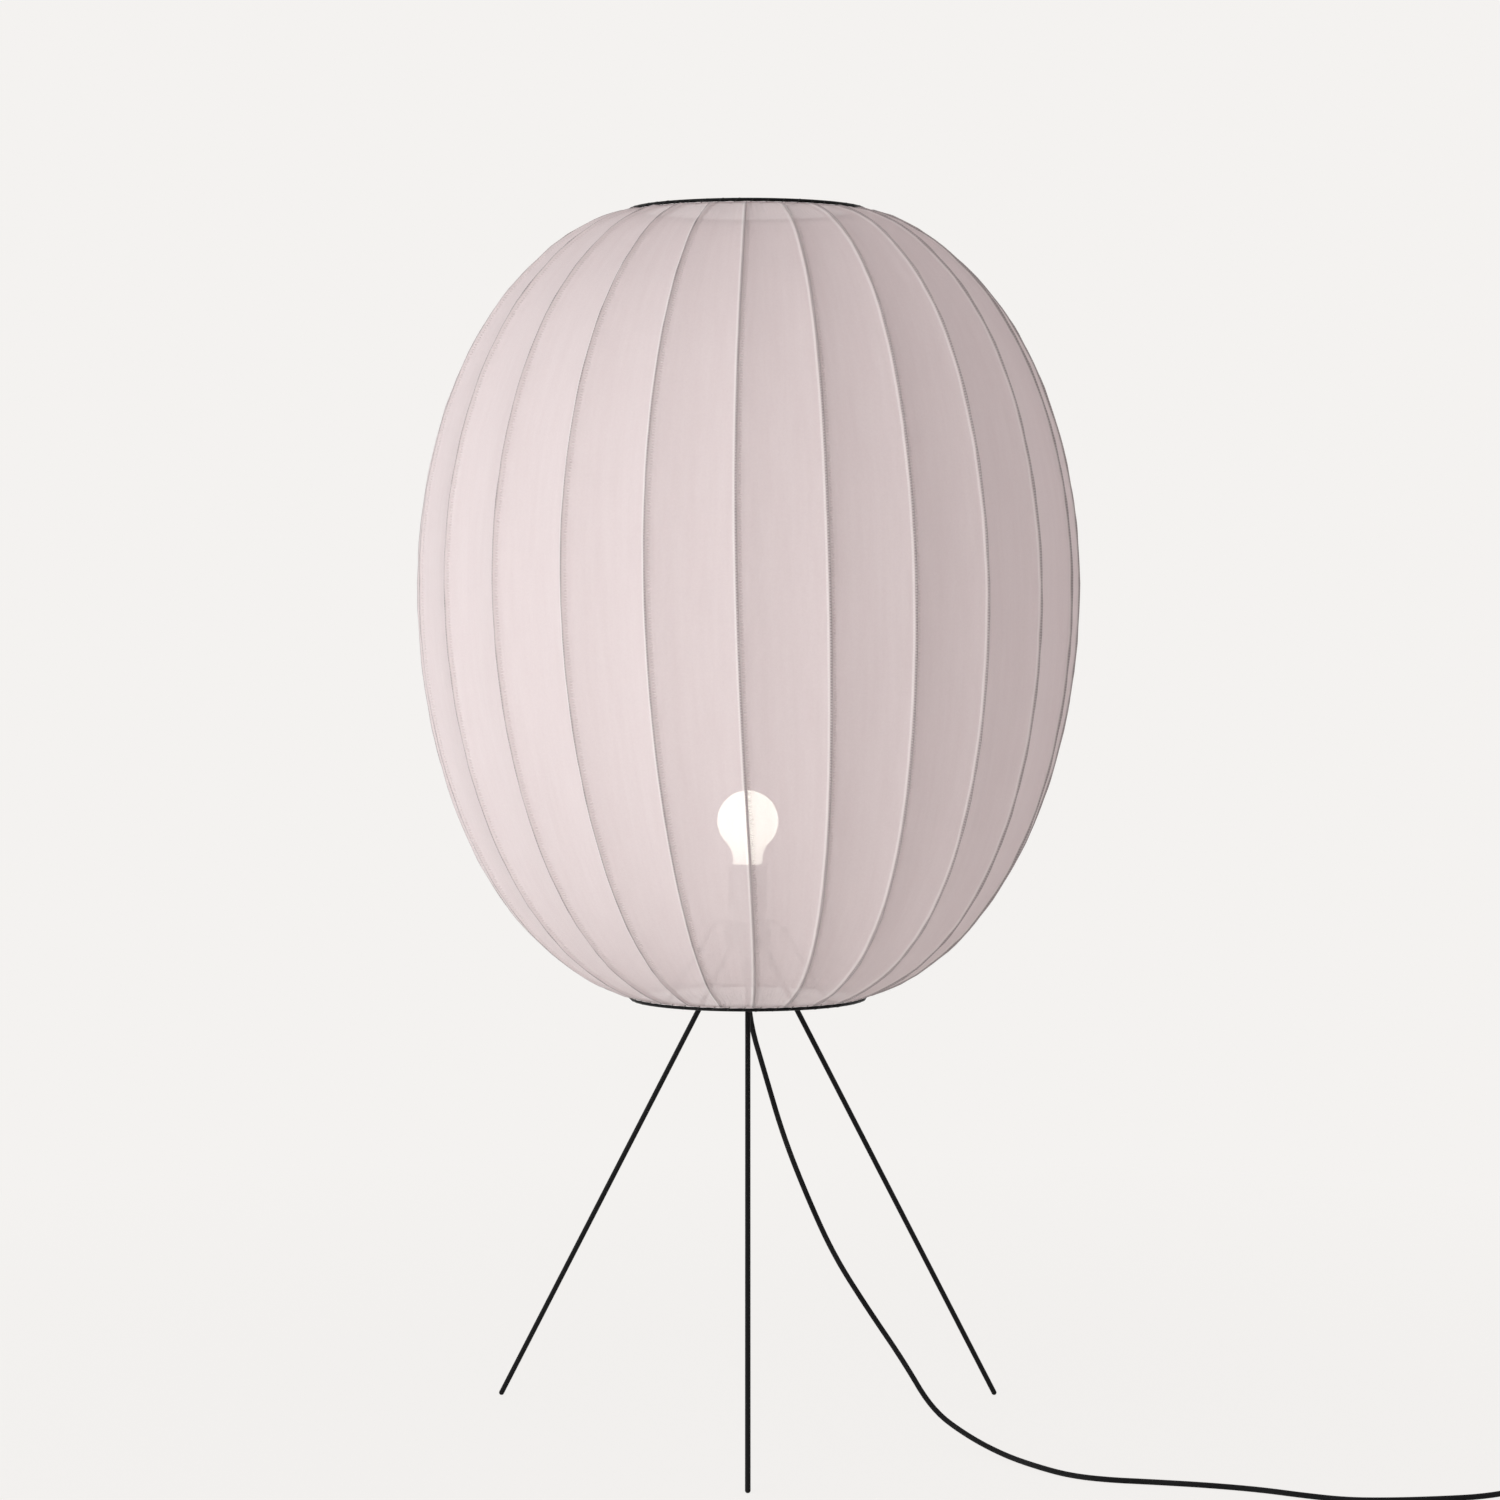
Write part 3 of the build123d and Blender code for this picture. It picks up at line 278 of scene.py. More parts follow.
def braid(name, length, tone):
    """Braided yarn on a cord of a length, its strands following the cord's own UV."""
    material, tree, output = new_material(name)
    uv = add_node(tree, "UVMap")
    place = add_node(tree, "SeparateXYZ", {0: uv.outputs["UV"]})
    strand_pitch = pi * cord_diameter / strands_round * 1.9
    across = add_node(tree, "Math", {0: place.outputs[0], 1: strands_round / 2}, operation="MULTIPLY")
    along = add_node(tree, "Math", {0: place.outputs[1], 1: length / strand_pitch / 2}, operation="MULTIPLY")
    ridges = []
    for slant in ("ADD", "SUBTRACT"):
        line = add_node(tree, "Math", {0: across.outputs[0], 1: along.outputs[0]}, operation=slant)
        turn = add_node(tree, "Math", {0: line.outputs[0], 1: 2 * pi}, operation="MULTIPLY")
        ridges.append(add_node(tree, "Math", {0: turn.outputs[0]}, operation="SINE"))
    crossing = add_node(
        tree, "Math", {0: ridges[0].outputs[0], 1: ridges[1].outputs[0]}, operation="MULTIPLY"
    )
    fibres = add_node(tree, "TexNoise", {"Scale": 900, "Detail": 3})
    object_place = add_node(tree, "TexCoord")
    tree.links.new(object_place.outputs["Object"], fibres.inputs["Vector"])
    height = add_node(
        tree, "Math", {0: crossing.outputs[0], 1: fibres.outputs["Fac"]}, operation="ADD"
    )
    # Painted shade and highlight: the tone follows the strands' relief, darker where it is low and paler
    # where it is high; the fibre noise in it is the yarn's own tone.
    strand_relief_shade = add_node(tree, "MapRange", {"Value": height.outputs[0], "From Min": -0.6, "From Max": 1.7})
    tones = mix_tones(tree, strand_relief_shade.outputs[0], [v * 0.55 for v in tone], [v * 1.6 for v in tone])
    bump = add_node(tree, "Bump", {"Height": height.outputs[0], "Strength": 0.6, "Distance": 0.0003})
    cover = add_node(
        tree, "BsdfPrincipled",
        {"Base Color": tones, "Roughness": 0.82, "Sheen Weight": 0.02, "Sheen Roughness": 0.5,
         "Specular IOR Level": 0.1, "Normal": bump.outputs[0]},
    )
    tree.links.new(cover.outputs[0], output.inputs["Surface"])
    return material


cord.data.materials.append(braid("cord_braid", 1.13, (0.009, 0.009, 0.0095)))
cord_tail.data.materials.append(braid("cord_tail_braid", 1.29, (0.009, 0.009, 0.0095)))


def dress(material, *names):
    """Give a material to solids of the frame."""
    for name in names:
        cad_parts[name].material_slots[0].material = material


# Stand: three bent-free steel rods in a turned hub, and the flat plate and wires that carry
# the cage on it. All are powder coated in satin black after they are made.
def coated(name, tone, roughness, grain=0.00002):
    """Powder coat: a fine dimpled skin, with a little more gloss in some places."""
    material, tree, output = new_material(name)
    place = add_node(tree, "TexCoord")
    dimples = add_node(tree, "TexNoise", {"Vector": place.outputs["Object"], "Scale": 900, "Detail": 2})
    clouds = add_node(tree, "TexNoise", {"Vector": place.outputs["Object"], "Scale": 35, "Detail": 3})
    gloss = add_node(
        tree, "MapRange",
        {"Value": clouds.outputs["Fac"], "From Min": 0.3, "From Max": 0.7,
         "To Min": roughness - 0.07, "To Max": roughness + 0.07},
    )
    tones = mix_tones(tree, dimples.outputs["Fac"], [v * 0.8 for v in tone], [v * 1.25 for v in tone])
    bump = add_node(tree, "Bump", {"Height": dimples.outputs["Fac"], "Strength": 0.15, "Distance": grain})
    coat = add_node(
        tree, "BsdfPrincipled",
        {"Base Color": tones, "Roughness": gloss.outputs[0], "Specular IOR Level": 0.07,
         "Normal": bump.outputs[0]},
    )
    tree.links.new(coat.outputs[0], output.inputs["Surface"])
    return material


steel_coat = coated("satin_black_coat", (0.007, 0.007, 0.0075), 0.46)
dress(
    steel_coat, "leg_front", "leg_right", "leg_left", "leg_hub", "spider_plate",
    "spider_arm_1", "spider_arm_2", "spider_arm_3",
)


# Fastenings of the stand and the lampholder: the hub's set screws, the threaded tube and
# its nut. They are turned steel, zinc plated, with faint turning marks.
def plated(name, tone, roughness, scale=260):
    """Plated metal with fine streaks in its gloss."""
    material, tree, output = new_material(name)
    place = add_node(tree, "TexCoord")
    streaks = add_node(tree, "TexNoise", {"Vector": place.outputs["Object"], "Scale": scale, "Detail": 5})
    gloss = add_node(
        tree, "MapRange",
        {"Value": streaks.outputs["Fac"], "From Min": 0.25, "From Max": 0.75,
         "To Min": roughness * 0.7, "To Max": roughness * 1.4},
    )
    tones = mix_tones(tree, streaks.outputs["Fac"], [v * 0.86 for v in tone], tone)
    bump = add_node(tree, "Bump", {"Height": streaks.outputs["Fac"], "Strength": 0.3, "Distance": 0.00003})
    metal = add_node(
        tree, "BsdfPrincipled",
        {"Base Color": tones, "Metallic": 1, "Roughness": gloss.outputs[0], "Normal": bump.outputs[0]},
    )
    tree.links.new(metal.outputs[0], output.inputs["Surface"])
    return material


zinc = plated("zinc_plate", (0.62, 0.62, 0.63), 0.3)
dress(
    zinc, "leg_set_screws", "threaded_tube", "clamp_nut", "terminal_screws", "foot_switch_screws",
    "button_spring",
)

# Rings: two hoops of steel wire, butt welded and dipped in black plastic, a little glossier
# than the stand. The knit's two hems are sewn to them.
ring_coat = coated("dipped_black_wire", (0.006, 0.006, 0.0065), 0.4, 0.00001)
dress(ring_coat, "top_ring", "bottom_ring")

# Ribs: thin sprung rods in a pale plastic skin. They spread the knit, and only the ridges
# that they raise in it are seen from outside.
material, tree, output = new_material("pale_rod_skin")
place = add_node(tree, "TexCoord")
marks = add_node(tree, "TexNoise", {"Vector": place.outputs["Object"], "Scale": 120, "Detail": 4})
tones = mix_tones(tree, marks.outputs["Fac"], (0.74, 0.66, 0.63), (0.86, 0.79, 0.76))
bump = add_node(tree, "Bump", {"Height": marks.outputs["Fac"], "Strength": 0.3, "Distance": 0.00003})
skin = add_node(
    tree, "BsdfPrincipled", {"Base Color": tones, "Roughness": 0.45, "Normal": bump.outputs[0]}
)
tree.links.new(skin.outputs[0], output.inputs["Surface"])
dress(material, *[f"shade_ribs_{number + 1:02d}" for number in range(12)])

# Knit cover: a tube of fine jersey, drawn over the ribs and pulled in a little between
# them, with a sewn seam along each rib. It is thin enough for the lit bulb to show.
rib_count = 24
shade_radius = 0.325
shade_middle = 0.829
upper_half = (0.376, 2.81, 1.94)
lower_half = (0.417, 2.68, 1.98)
outline_end = 0.1105
mouth_radius = 0.1163
gore_angle = 2 * pi / rib_count
columns = 16
rows = 96
ridge_height = 0.002
ridge_width = 0.0015
panel_sag = 0.0037
tuck = 0.001
tuck_reach = 0.014
fade_reach = 0.009
shoulder_lift = 0.0022
shoulder_reach = 0.11
rib_crowding = 0.9
seam_wander = 0.0004
pucker_height = 0.0004
pucker_reach = 0.012
mouth_pucker_reach = 0.08
middle_width = 0.085
knit_thickness = 0.0008


def knit_outline(share):
    """Radius, height and upward direction of the cover at a share, -1 bottom to 1 top."""
    side = 1 if share >= 0 else -1
    reach, power_r, power_z = upper_half if side > 0 else lower_half
    end = (1 - (outline_end / shade_radius) ** power_r) ** (1 / power_z)
    along = abs(share) * end
    body = 1 - along ** power_z
    radius = shade_radius * body ** (1 / power_r)
    slope = -radius / body * power_z * along ** (power_z - 1) / power_r if along > 0 else 0
    size = hypot(slope, reach)
    return radius, shade_middle + side * reach * along, side * slope / size, reach / size


def rib_turn(share):
    """The angle that a rib leans to at a share of its height."""
    return radians(-1.68 - 1.66 * share + 2.82 * share * share)


def ripple(value, seed):
    """A smooth wandering number between about -1 and 1."""
    waves = ((1.0, 1.0, 1.7), (0.6, 2.3, 4.1), (0.4, 4.9, 2.9))
    return sum(height * sin(value * pace + seed * shift) for height, pace, shift in waves) / 2


fine = [knit_outline(step / 2000 - 1) + (step / 2000 - 1,) for step in range(4001)]
fine = [spot for spot in fine if spot[0] >= mouth_radius]
runs = [0]
for before, after in zip(fine, fine[1:]):
    runs.append(runs[-1] + hypot(after[0] - before[0], after[1] - before[1]))
row_marks = []
index = 0
for row in range(rows + 1):
    wanted = runs[-1] * row / rows
    while runs[index] < wanted - 1e-9:
        index += 1
    row_marks.append((fine[index][4], runs[index]))

form = bmesh.new()
share_of = form.verts.layers.float.new("share")
run_of = form.verts.layers.float.new("run")
chain = []
for share, run in row_marks:
    radius, height, _, _ = knit_outline(share)
    vert = form.verts.new((radius, 0, height))
    vert[share_of], vert[run_of] = share, run
    chain.append(vert)
edges = [form.edges.new(pair) for pair in zip(chain, chain[1:])]
bmesh.ops.spin(
    form, geom=chain + edges, cent=(0, 0, 0), axis=(0, 0, 1), angle=2 * pi, steps=rib_count * columns,
    use_merge=True,
)
bmesh.ops.remove_doubles(form, verts=form.verts, dist=1e-6)
column_of = form.verts.layers.int.new("column")
for vert in form.verts:
    column = round(atan2(vert.co.y, vert.co.x) / (2 * pi) * rib_count * columns)
    vert[column_of] = column % (rib_count * columns)


def across_gore(columns_on):
    """How far across its gore a column of the cover lies, crowded towards the ribs."""
    even = columns_on / columns
    return even - rib_crowding * sin(2 * pi * even) / (2 * pi)


for vert in form.verts:
    share, run, column = vert[share_of], vert[run_of], vert[column_of]
    radius, height, out, up = knit_outline(share)
    gore, across = column // columns, across_gore(column % columns)
    width = 2 * radius * sin(gore_angle / 2)
    near = across if across < 0.5 else across - 1
    rib = (gore if across < 0.5 else gore + 1) % rib_count
    to_mouth = max(0, min(run, runs[-1] - run))
    spread = min(1, to_mouth / fade_reach) ** 0.7
    wander = seam_wander * ripple(run * 34, rib) * spread
    bulk = 1 + 0.22 * ripple(run * 21, rib + 31)
    crest = exp(-(((near * width - wander) / ridge_width) ** 2))
    fall = ridge_height * bulk * (1 - crest)
    hollow = panel_sag * (1 + 0.18 * ripple(run * 9, gore + 7)) * (4 * across * (1 - across))
    hollow *= width / middle_width
    pucker = pucker_height * (1 + exp(-to_mouth / mouth_pucker_reach))
    pucker *= ripple(run * 95 + 2.5 * abs(near), gore + 3) * exp(-abs(near) * width / pucker_reach)
    inset = (fall + hollow + pucker) * spread
    if run > runs[-1] - shoulder_reach:
        inset -= shoulder_lift * sin(pi * (max(0, runs[-1] - run) / shoulder_reach) ** 0.6)
    turn = rib_turn(share) - pi / 2 + gore * gore_angle
    start = Vector((cos(turn), sin(turn), 0))
    end = Vector((cos(turn + gore_angle), sin(turn + gore_angle), 0))
    flat = start.lerp(end, across)
    round_way = Vector((cos(turn + across * gore_angle), sin(turn + across * gore_angle), 0))
    way = round_way.lerp(flat, spread)
    vert.co = way * radius + Vector((0, 0, height)) - (round_way * up - Vector((0, 0, out))) * inset
    drop = tuck * max(0, 1 - to_mouth / tuck_reach) ** 2
    vert.co.z -= drop if share > 0 else -drop
bmesh.ops.recalc_face_normals(form, faces=form.faces)
middle_face = max(form.faces, key=lambda face: face.calc_center_median().x)
if middle_face.normal.x < 0:
    bmesh.ops.reverse_faces(form, faces=form.faces)

knit_map = form.loops.layers.uv.new("knit")
seam_map = form.loops.layers.uv.new("seam")
whole = rib_count * columns
for face in form.faces:
    face.smooth = True
    numbers = [loop.vert[column_of] for loop in face.loops]
    low = 0 if max(numbers) - min(numbers) < whole / 2 else whole - 1
    for loop in face.loops:
        number = loop.vert[column_of]
        if low and number == 0:
            number = whole
        gore = min(min(n if not low or n else whole for n in numbers), whole - 1) // columns
        across = across_gore(number - gore * columns)
        width = 2 * knit_outline(loop.vert[share_of])[0] * sin(gore_angle / 2)
        half = sum(numbers) / len(numbers) % columns < columns / 2
        loop[knit_map].uv = (gore + across, loop.vert[run_of])
        loop[seam_map].uv = ((across if half else across - 1) * width, loop.vert[run_of])
mesh = bpy.data.meshes.new("knit_cover")
form.to_mesh(mesh)
form.free()
knit_cover = bpy.data.objects.new("knit_cover", mesh)
bpy.context.scene.collection.objects.link(knit_cover)
thick = knit_cover.modifiers.new("thick", "SOLIDIFY")
thick.thickness = knit_thickness
thick.offset = -1
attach(knit_cover, "root")
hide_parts("shade_cover")

# Jersey: rows of small loops, sheer where the yarn is drawn open. Each seam lets less light through
# where its cloth lies double, with painted shade on its colour there, a painted highlight line at its
# left and a zigzag stitch at its right.
wales_per_gore = 84
course_pitch = 0.001
seam_stitch = 0.0027
run_length = runs[-1]
jersey, tree, output = new_material("pink_jersey")
knit_place = add_node(tree, "SeparateXYZ", {0: add_node(tree, "UVMap", uv_map="knit").outputs["UV"]})
seam_place = add_node(tree, "SeparateXYZ", {0: add_node(tree, "UVMap", uv_map="seam").outputs["UV"]})


def sum_up(operation, *values, clamp=False):
    """A Math node of the knit's tree."""
    made = add_node(tree, "Math", dict(enumerate(values)), operation=operation)
    made.use_clamp = clamp
    return made.outputs[0]


wale = sum_up("MULTIPLY", knit_place.outputs[0], wales_per_gore)
course = sum_up("DIVIDE", knit_place.outputs[1], course_pitch)
fold = sum_up("ABSOLUTE", sum_up("SUBTRACT", sum_up("FRACT", wale), 0.5))
legs = sum_up("SINE", sum_up("MULTIPLY", sum_up("ADD", course, fold), 2 * pi))
ribbing = sum_up("COSINE", sum_up("MULTIPLY", wale, 2 * pi))
loops = sum_up("ADD", sum_up("MULTIPLY", legs, 0.4), sum_up("MULTIPLY", ribbing, -0.6))
streak_way = [sum_up("MULTIPLY", knit_place.outputs[axis], 9) for axis in (0, 1)]
streak_place = add_node(tree, "CombineXYZ", dict(enumerate(streak_way)))
streaks = add_node(
    tree, "TexNoise", {"Vector": streak_place.outputs[0], "Scale": 1.0, "Detail": 5, "Roughness": 0.6}
)
object_place = add_node(tree, "TexCoord").outputs["Object"]
drag_place = add_node(tree, "Mapping", {"Vector": object_place, "Scale": (60, 60, 16)})
drags = add_node(
    tree, "TexNoise", {"Vector": drag_place.outputs[0], "Scale": 1.0, "Detail": 3, "Roughness": 0.5}
)
fuzz = add_node(tree, "TexNoise", {"Vector": object_place, "Scale": 480, "Detail": 3, "Roughness": 0.6})


def seam_line(at, full, faded):
    """1 along a line at a distance from each seam, and 0 away from it."""
    away = sum_up("ABSOLUTE", sum_up("SUBTRACT", seam_place.outputs[0], at))
    made = add_node(
        tree, "MapRange", {"Value": away, "From Min": full, "From Max": faded, "To Min": 1, "To Max": 0},
        interpolation_type="SMOOTHSTEP",
    )
    return made.outputs[0]


zigzag = seam_line(0.0034, 0.0006, 0.0017)
near_rib = seam_line(0, 0.001, 0.028)
double_cloth_and_shade = seam_line(-0.0005, 0.0005, 0.0014)
# Painted highlight: a near-white band at the left of each seam stands in for the lit flank of the ridge.
seam_highlight_band = seam_line(-0.0027, 0.0004, 0.0011)
stitch_wave = sum_up("SINE", sum_up("MULTIPLY", seam_place.outputs[1], 2 * pi / seam_stitch))
stitches = sum_up("MULTIPLY", zigzag, stitch_wave)
thread_gaps = sum_up("ADD", sum_up("MULTIPLY", stitch_wave, 0.25), 0.75)
painted_seam_highlight = sum_up("MULTIPLY", seam_highlight_band, thread_gaps)
# Painted shade: each seam's colour is darkened towards a near-black tone where its cloth lies double,
# standing in for the shadow of the rib and seam allowance.
seam_painted_shade = sum_up("MULTIPLY", sum_up("MULTIPLY", double_cloth_and_shade, thread_gaps), 0.55)
tone_share = sum_up(
    "ADD", sum_up("MULTIPLY", streaks.outputs["Fac"], 0.55), sum_up("MULTIPLY", fuzz.outputs["Fac"], 0.45)
)
tone_share = sum_up("ADD", tone_share, sum_up("MULTIPLY", stitches, 0.35), clamp=True)
yarn_tones = mix_tones(tree, tone_share, (0.745, 0.662, 0.672), (0.95, 0.902, 0.905))
# Near-white painted highlight along the left of each seam.
yarn_tones = mix_tones(tree, painted_seam_highlight, yarn_tones, (1.0, 0.98, 0.975))
# The dark tone here is the painted shade along each seam.
tones = mix_tones(tree, seam_painted_shade, yarn_tones, (0.22, 0.15, 0.16))
knit_bump = add_node(tree, "Bump", {"Height": loops, "Strength": 0.35, "Distance": 0.0002})
mouth_run = sum_up("MINIMUM", seam_place.outputs[1], sum_up("SUBTRACT", run_length, seam_place.outputs[1]))
near_mouth = add_node(
    tree, "MapRange", {"Value": mouth_run, "From Min": 0.0, "From Max": 0.09, "To Min": 1, "To Max": 0},
    interpolation_type="SMOOTHSTEP",
)
gather_height = sum_up("MULTIPLY", streaks.outputs["Fac"], near_mouth.outputs[0])
gather_bump = add_node(
    tree, "Bump",
    {"Height": gather_height, "Strength": 0.5, "Distance": 0.003, "Normal": knit_bump.outputs[0]},
)
drag_share = sum_up("ADD", sum_up("MULTIPLY", near_rib, 0.8), 0.2)
drag_height = sum_up("MULTIPLY", drags.outputs["Fac"], drag_share)
drag_bump = add_node(
    tree, "Bump",
    {"Height": drag_height, "Strength": 0.55, "Distance": 0.0022, "Normal": gather_bump.outputs[0]},
)
stitch_bump = add_node(
    tree, "Bump", {"Height": stitches, "Strength": 0.6, "Distance": 0.0005, "Normal": drag_bump.outputs[0]}
)
cloth = add_node(
    tree, "BsdfPrincipled",
    {"Base Color": tones, "Roughness": 0.9, "Sheen Weight": 0.6, "Sheen Roughness": 0.35,
     "Specular IOR Level": 0.2, "Normal": stitch_bump.outputs[0]},
)
seam_weave = sum_up("ADD", sum_up("MULTIPLY", stitch_wave, 0.15), 0.8)
seam_block = sum_up("MULTIPLY", double_cloth_and_shade, seam_weave)
# Little light passes through the seam: the near-black is partly the double cloth's own thickness and partly
# a painted shadow of the rib.
through_tones = mix_tones(tree, seam_block, (0.87, 0.74, 0.752), (0.05, 0.04, 0.042))
through = add_node(
    tree, "BsdfTranslucent", {"Color": through_tones, "Normal": stitch_bump.outputs[0]}
)
woven = add_node(tree, "MixShader", {0: 0.36, 1: cloth.outputs[0], 2: through.outputs[0]})
open_yarn = add_node(
    tree, "MapRange", {"Value": loops, "From Min": -1, "From Max": 1, "To Min": 0.17, "To Max": 0.05}
)
bare = add_node(tree, "BsdfTransparent", {"Color": (1, 1, 1, 1)})
sheer = add_node(tree, "MixShader", {0: open_yarn.outputs[0], 1: woven.outputs[0], 2: bare.outputs[0]})
tree.links.new(sheer.outputs[0], output.inputs["Surface"])
knit_cover.data.materials.append(jersey)

# Back of the jersey: the same yarn, counted as one cloth with its face, so it is sheerer
backing, tree, output = new_material("jersey_back")
object_place = add_node(tree, "TexCoord").outputs["Object"]
fuzz = add_node(tree, "TexNoise", {"Vector": object_place, "Scale": 900, "Detail": 3})
tones = mix_tones(tree, fuzz.outputs["Fac"], (0.79, 0.68, 0.69), (0.9, 0.82, 0.83))
bump = add_node(tree, "Bump", {"Height": fuzz.outputs["Fac"], "Strength": 0.4, "Distance": 0.0003})
cloth = add_node(
    tree, "BsdfPrincipled", {"Base Color": tones, "Roughness": 0.95, "Normal": bump.outputs[0]}
)
bare = add_node(tree, "BsdfTransparent", {"Color": (1, 1, 1, 1)})
sheer = add_node(tree, "MixShader", {0: 0.72, 1: cloth.outputs[0], 2: bare.outputs[0]})
tree.links.new(sheer.outputs[0], output.inputs["Surface"])
knit_cover.data.materials.append(backing)
thick.material_offset = 1

# Hems: the knit's edge rolled on itself beside each ring, and the thread that is whipped
# round roll and ring. The loops are pulled tight by hand, so no two are quite alike.
hem_roll = 0.0009
hem_radius = mouth_radius - 0.0006
hem_lift = 0.0005
loops_round = 48
thread_radius = 0.0003
points_per_loop = 10
loop_reach, loop_side = 0.0034, 0.0022
ring_middles = {}
for name in ("top_ring", "bottom_ring"):
    low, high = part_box(name)
    ring_wire = high.z - low.z
    ring_middles[name] = Vector(((high.x - low.x - ring_wire) / 2, 0, (low.z + high.z) / 2))
soft_edge, tree, output = new_material("hem_yarn")
place = add_node(tree, "TexCoord")
yarn = add_node(tree, "TexNoise", {"Vector": place.outputs["Object"], "Scale": 700, "Detail": 4})
tones = mix_tones(tree, yarn.outputs["Fac"], (0.74, 0.65, 0.66), (0.93, 0.88, 0.88))
bump = add_node(tree, "Bump", {"Height": yarn.outputs["Fac"], "Strength": 0.7, "Distance": 0.0003})
fibre = add_node(
    tree, "BsdfPrincipled",
    {"Base Color": tones, "Roughness": 0.9, "Sheen Weight": 0.25, "Normal": bump.outputs[0]},
)
tree.links.new(fibre.outputs[0], output.inputs["Surface"])
thread_yarn, tree, output = new_material("whipping_thread")
place = add_node(tree, "TexCoord")
twist = add_node(tree, "TexNoise", {"Vector": place.outputs["Object"], "Scale": 1100, "Detail": 3})
tones = mix_tones(tree, twist.outputs["Fac"], (0.008, 0.008, 0.009), (0.03, 0.028, 0.028))
bump = add_node(tree, "Bump", {"Height": twist.outputs["Fac"], "Strength": 0.6, "Distance": 0.0002})
fibre = add_node(
    tree, "BsdfPrincipled", {"Base Color": tones, "Roughness": 0.8, "Normal": bump.outputs[0]}
)
tree.links.new(fibre.outputs[0], output.inputs["Surface"])
for place_name, ring, rise in (("top", "top_ring", -1), ("bottom", "bottom_ring", 1)):
    ring_middle = ring_middles[ring]
    roll_middle = Vector((hem_radius, 0, ring_middle.z + rise * (ring_wire / 2 + hem_roll * 0.8)))
    form = bmesh.new()
    bmesh.ops.create_circle(form, segments=10, radius=hem_roll)
    bmesh.ops.rotate(form, verts=form.verts, cent=(0, 0, 0), matrix=Matrix.Rotation(pi / 2, 3, "X"))
    bmesh.ops.translate(form, verts=form.verts, vec=roll_middle)
    bmesh.ops.spin(
        form, geom=form.verts[:] + form.edges[:], cent=(0, 0, 0), axis=(0, 0, 1), angle=2 * pi, steps=360,
        use_merge=True,
    )
    bmesh.ops.remove_doubles(form, verts=form.verts, dist=1e-6)
    for vert in form.verts:
        turn = atan2(vert.co.y, vert.co.x)
        outward = Vector((cos(turn), sin(turn), 0))
        middle = outward * roll_middle.x + Vector((0, 0, roll_middle.z))
        slack = (1 + cos(turn * loops_round + 0.8 * ripple(turn * 5, rise))) / 2
        pinch = 0.72 + 0.36 * slack + 0.06 * ripple(turn * 11, rise)
        middle.z -= rise * hem_lift * slack
        vert.co = middle + (vert.co - middle) * pinch
    bmesh.ops.recalc_face_normals(form, faces=form.faces)
    for face in form.faces:
        face.smooth = True
    mesh = bpy.data.meshes.new(f"{place_name}_hem")
    form.to_mesh(mesh)
    form.free()
    mesh.materials.append(soft_edge)
    hem = bpy.data.objects.new(f"{place_name}_hem", mesh)
    bpy.context.scene.collection.objects.link(hem)
    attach(hem, "root")

    between = (ring_middle + roll_middle) / 2
    reach = (roll_middle - ring_middle).normalized()
    side = Vector((-reach.z, 0, reach.x))
    curve = bpy.data.curves.new(f"{place_name}_whipping", "CURVE")
    curve.dimensions = "3D"
    curve.resolution_u = 2
    curve.bevel_depth = 1
    curve.bevel_resolution = 1
    thread = curve.splines.new("NURBS")
    point_count = loops_round * points_per_loop
    thread.points.add(point_count - 1)
    for number, point in enumerate(thread.points):
        loop_angle = 2 * pi * number / points_per_loop
        slack = 1 + 0.09 * ripple(number * 0.13, rise + 5)
        spot = between + reach * (cos(loop_angle) * loop_reach * slack)
        spot += side * (sin(loop_angle) * loop_side * slack)
        skew = 0.3 * ripple(number * 0.07, rise + 9)
        turn = 2 * pi * (number + skew * 3) / point_count
        point.co = (spot.x * cos(turn), spot.x * sin(turn), spot.z, 1)
        point.radius = thread_radius
    thread.order_u = 3
    thread.use_cyclic_u = True
    whipping = bpy.data.objects.new(f"{place_name}_whipping", curve)
    bpy.context.scene.collection.objects.link(whipping)
    curve.materials.append(thread_yarn)
    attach(whipping, "root")


# Lampholder: a two-part plastic shell on the threaded tube, with a porcelain insulator, a
# brass thread sleeve and its contact. It stands upright under the bulb.
def moulded(name, tone, roughness, scale=1500):
    """Moulded plastic with a fine spark-eroded grain."""
    material, tree, output = new_material(name)
    place = add_node(tree, "TexCoord")
    grain = add_node(tree, "TexNoise", {"Vector": place.outputs["Object"], "Scale": scale, "Detail": 3})
    smears = add_node(tree, "TexNoise", {"Vector": place.outputs["Object"], "Scale": 40, "Detail": 3})
    gloss = add_node(
        tree, "MapRange",
        {"Value": smears.outputs["Fac"], "From Min": 0.3, "From Max": 0.7,
         "To Min": roughness - 0.06, "To Max": roughness + 0.08},
    )
    tones = mix_tones(tree, grain.outputs["Fac"], [v * 0.8 for v in tone], [min(1, v * 1.2) for v in tone])
    bump = add_node(tree, "Bump", {"Height": grain.outputs["Fac"], "Strength": 0.5, "Distance": 0.00006})
    shell = add_node(
        tree, "BsdfPrincipled",
        {"Base Color": tones, "Roughness": gloss.outputs[0], "Normal": bump.outputs[0]},
    )
    tree.links.new(shell.outputs[0], output.inputs["Surface"])
    return material


black_shell = moulded("black_shell", (0.014, 0.014, 0.015), 0.46)
dress(black_shell, "holder_body", "holder_cap", "cord_grip")
dress(moulded("porcelain", (0.82, 0.8, 0.75), 0.22, 300), "holder_insulator")
brass = plated("plain_brass", (0.78, 0.58, 0.28), 0.28)
dress(brass, "thread_sleeve", "contact_spring", "bulb_pip", "contact_bridge", "switch_terminals")
core_skin = moulded("core_insulation", (0.1, 0.24, 0.5), 0.4)
dress(core_skin, "core_wires", "switch_wires")
dress(braid("inner_braid", 0.06, (0.014, 0.014, 0.015)), "inner_cord")

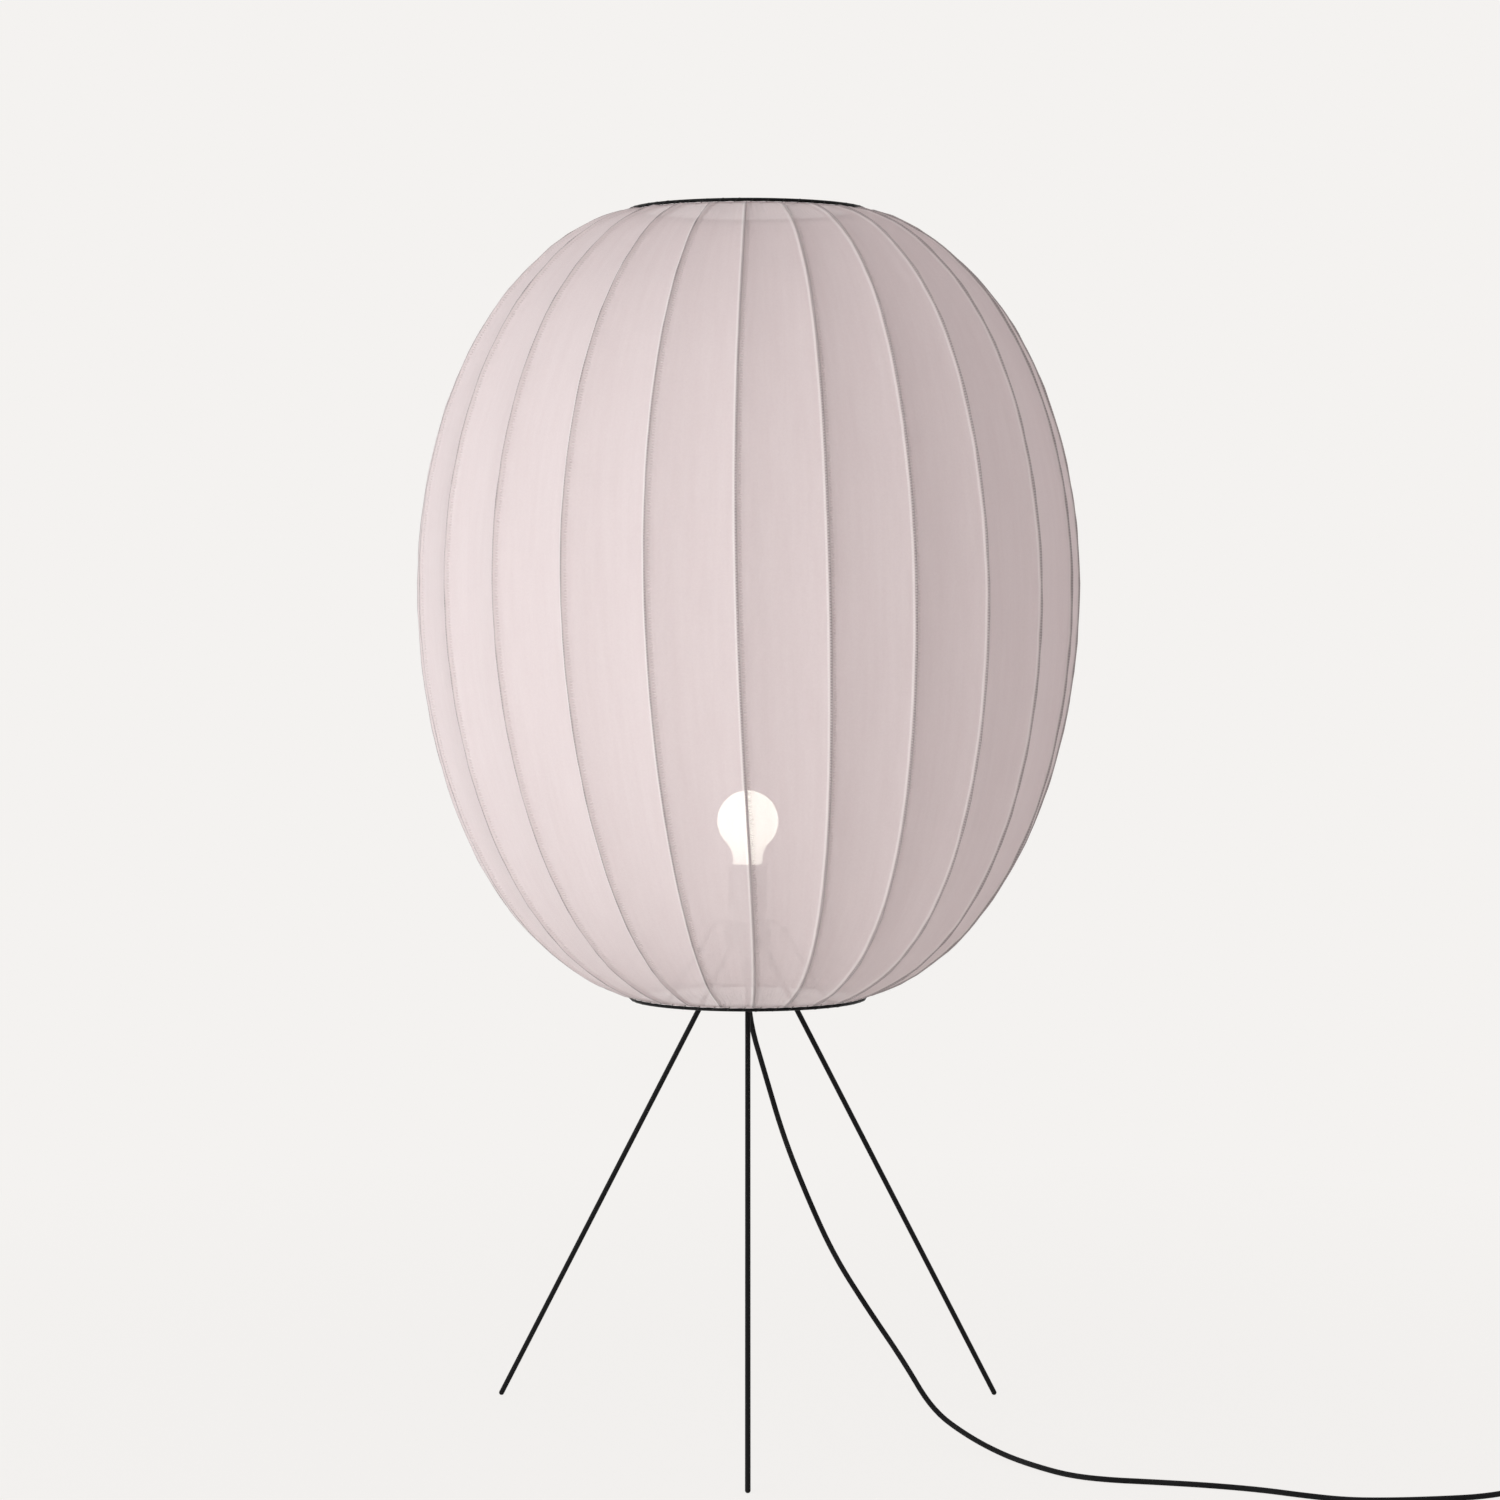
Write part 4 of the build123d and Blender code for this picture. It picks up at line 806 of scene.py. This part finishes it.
# Bulb: a frosted glass globe on a nickel screw cap, lit. Inside it are the stem, the frame
# and four glowing filament rods, which the frosting hides.
material, tree, output = new_material("lit_frosted_glass")
place = add_node(tree, "TexCoord")
frost = add_node(tree, "TexNoise", {"Vector": place.outputs["Object"], "Scale": 220, "Detail": 3})
glow = mix_tones(tree, frost.outputs["Fac"], (0.94, 0.97, 0.82), (0.97, 1.0, 0.88))
height = add_node(tree, "SeparateXYZ", {0: place.outputs["Object"]})
glass_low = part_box("bulb_glass")[0]
neck_height = 0.04
neck_glow, crown_glow = 3.0, 5.4
strength = add_node(
    tree, "MapRange",
    {"Value": height.outputs[2], "From Min": glass_low.z, "From Max": glass_low.z + neck_height,
     "To Min": neck_glow, "To Max": crown_glow},
)
lit_glass = add_node(
    tree, "BsdfPrincipled",
    {"Base Color": (0.9, 0.88, 0.85, 1), "Roughness": 0.35, "Emission Color": glow,
     "Emission Strength": strength.outputs[0]},
)
tree.links.new(lit_glass.outputs[0], output.inputs["Surface"])
dress(material, "bulb_glass")
material, tree, output = new_material("glowing_filament")
place = add_node(tree, "TexCoord")
beads = add_node(tree, "TexNoise", {"Vector": place.outputs["Object"], "Scale": 600, "Detail": 2})
glow = mix_tones(tree, beads.outputs["Fac"], (1.0, 0.7, 0.35), (1.0, 0.86, 0.6))
rods = add_node(
    tree, "BsdfPrincipled",
    {"Base Color": (0.9, 0.75, 0.4, 1), "Roughness": 0.5, "Emission Color": glow,
     "Emission Strength": 9},
)
tree.links.new(rods.outputs[0], output.inputs["Surface"])
dress(material, "filaments")
nickel = plated("nickel_plate", (0.78, 0.76, 0.72), 0.2)
dress(nickel, "bulb_cap", "filament_frame", "plug_pins")
material, tree, output = new_material("clear_glass")
place = add_node(tree, "TexCoord")
waves = add_node(tree, "TexNoise", {"Vector": place.outputs["Object"], "Scale": 150, "Detail": 2})
bump = add_node(tree, "Bump", {"Height": waves.outputs["Fac"], "Strength": 0.2, "Distance": 0.0001})
glass = add_node(
    tree, "BsdfPrincipled",
    {"Base Color": (0.95, 0.97, 0.96, 1), "Roughness": 0.04, "IOR": 1.5, "Transmission Weight": 1,
     "Normal": bump.outputs[0]},
)
tree.links.new(glass.outputs[0], output.inputs["Surface"])
dress(material, "bulb_stem", "bulb_insulator")

# Foot switch: a two-part moulded case on four soft pads, with a big push button, screwed
# together from below. Its reliefs are moulded in the same black as the case.
switch_shell = moulded("switch_shell", (0.016, 0.016, 0.017), 0.5, 1100)
dress(switch_shell, "foot_switch_base", "foot_switch_cover", "switch_reliefs")
dress(moulded("button_shell", (0.02, 0.02, 0.021), 0.36, 1700), "foot_switch_button")
dress(moulded("soft_pads", (0.022, 0.022, 0.022), 0.75, 700), "foot_switch_feet")

# Plug: a flat two-pin plug moulded on the cord, with insulating sleeves on its pins, and
# the soft band that holds the coil together.
dress(moulded("plug_shell", (0.015, 0.015, 0.016), 0.52, 1200), "plug_body", "pin_sleeves")
dress(moulded("soft_band", (0.02, 0.02, 0.022), 0.62, 900), "coil_tie")
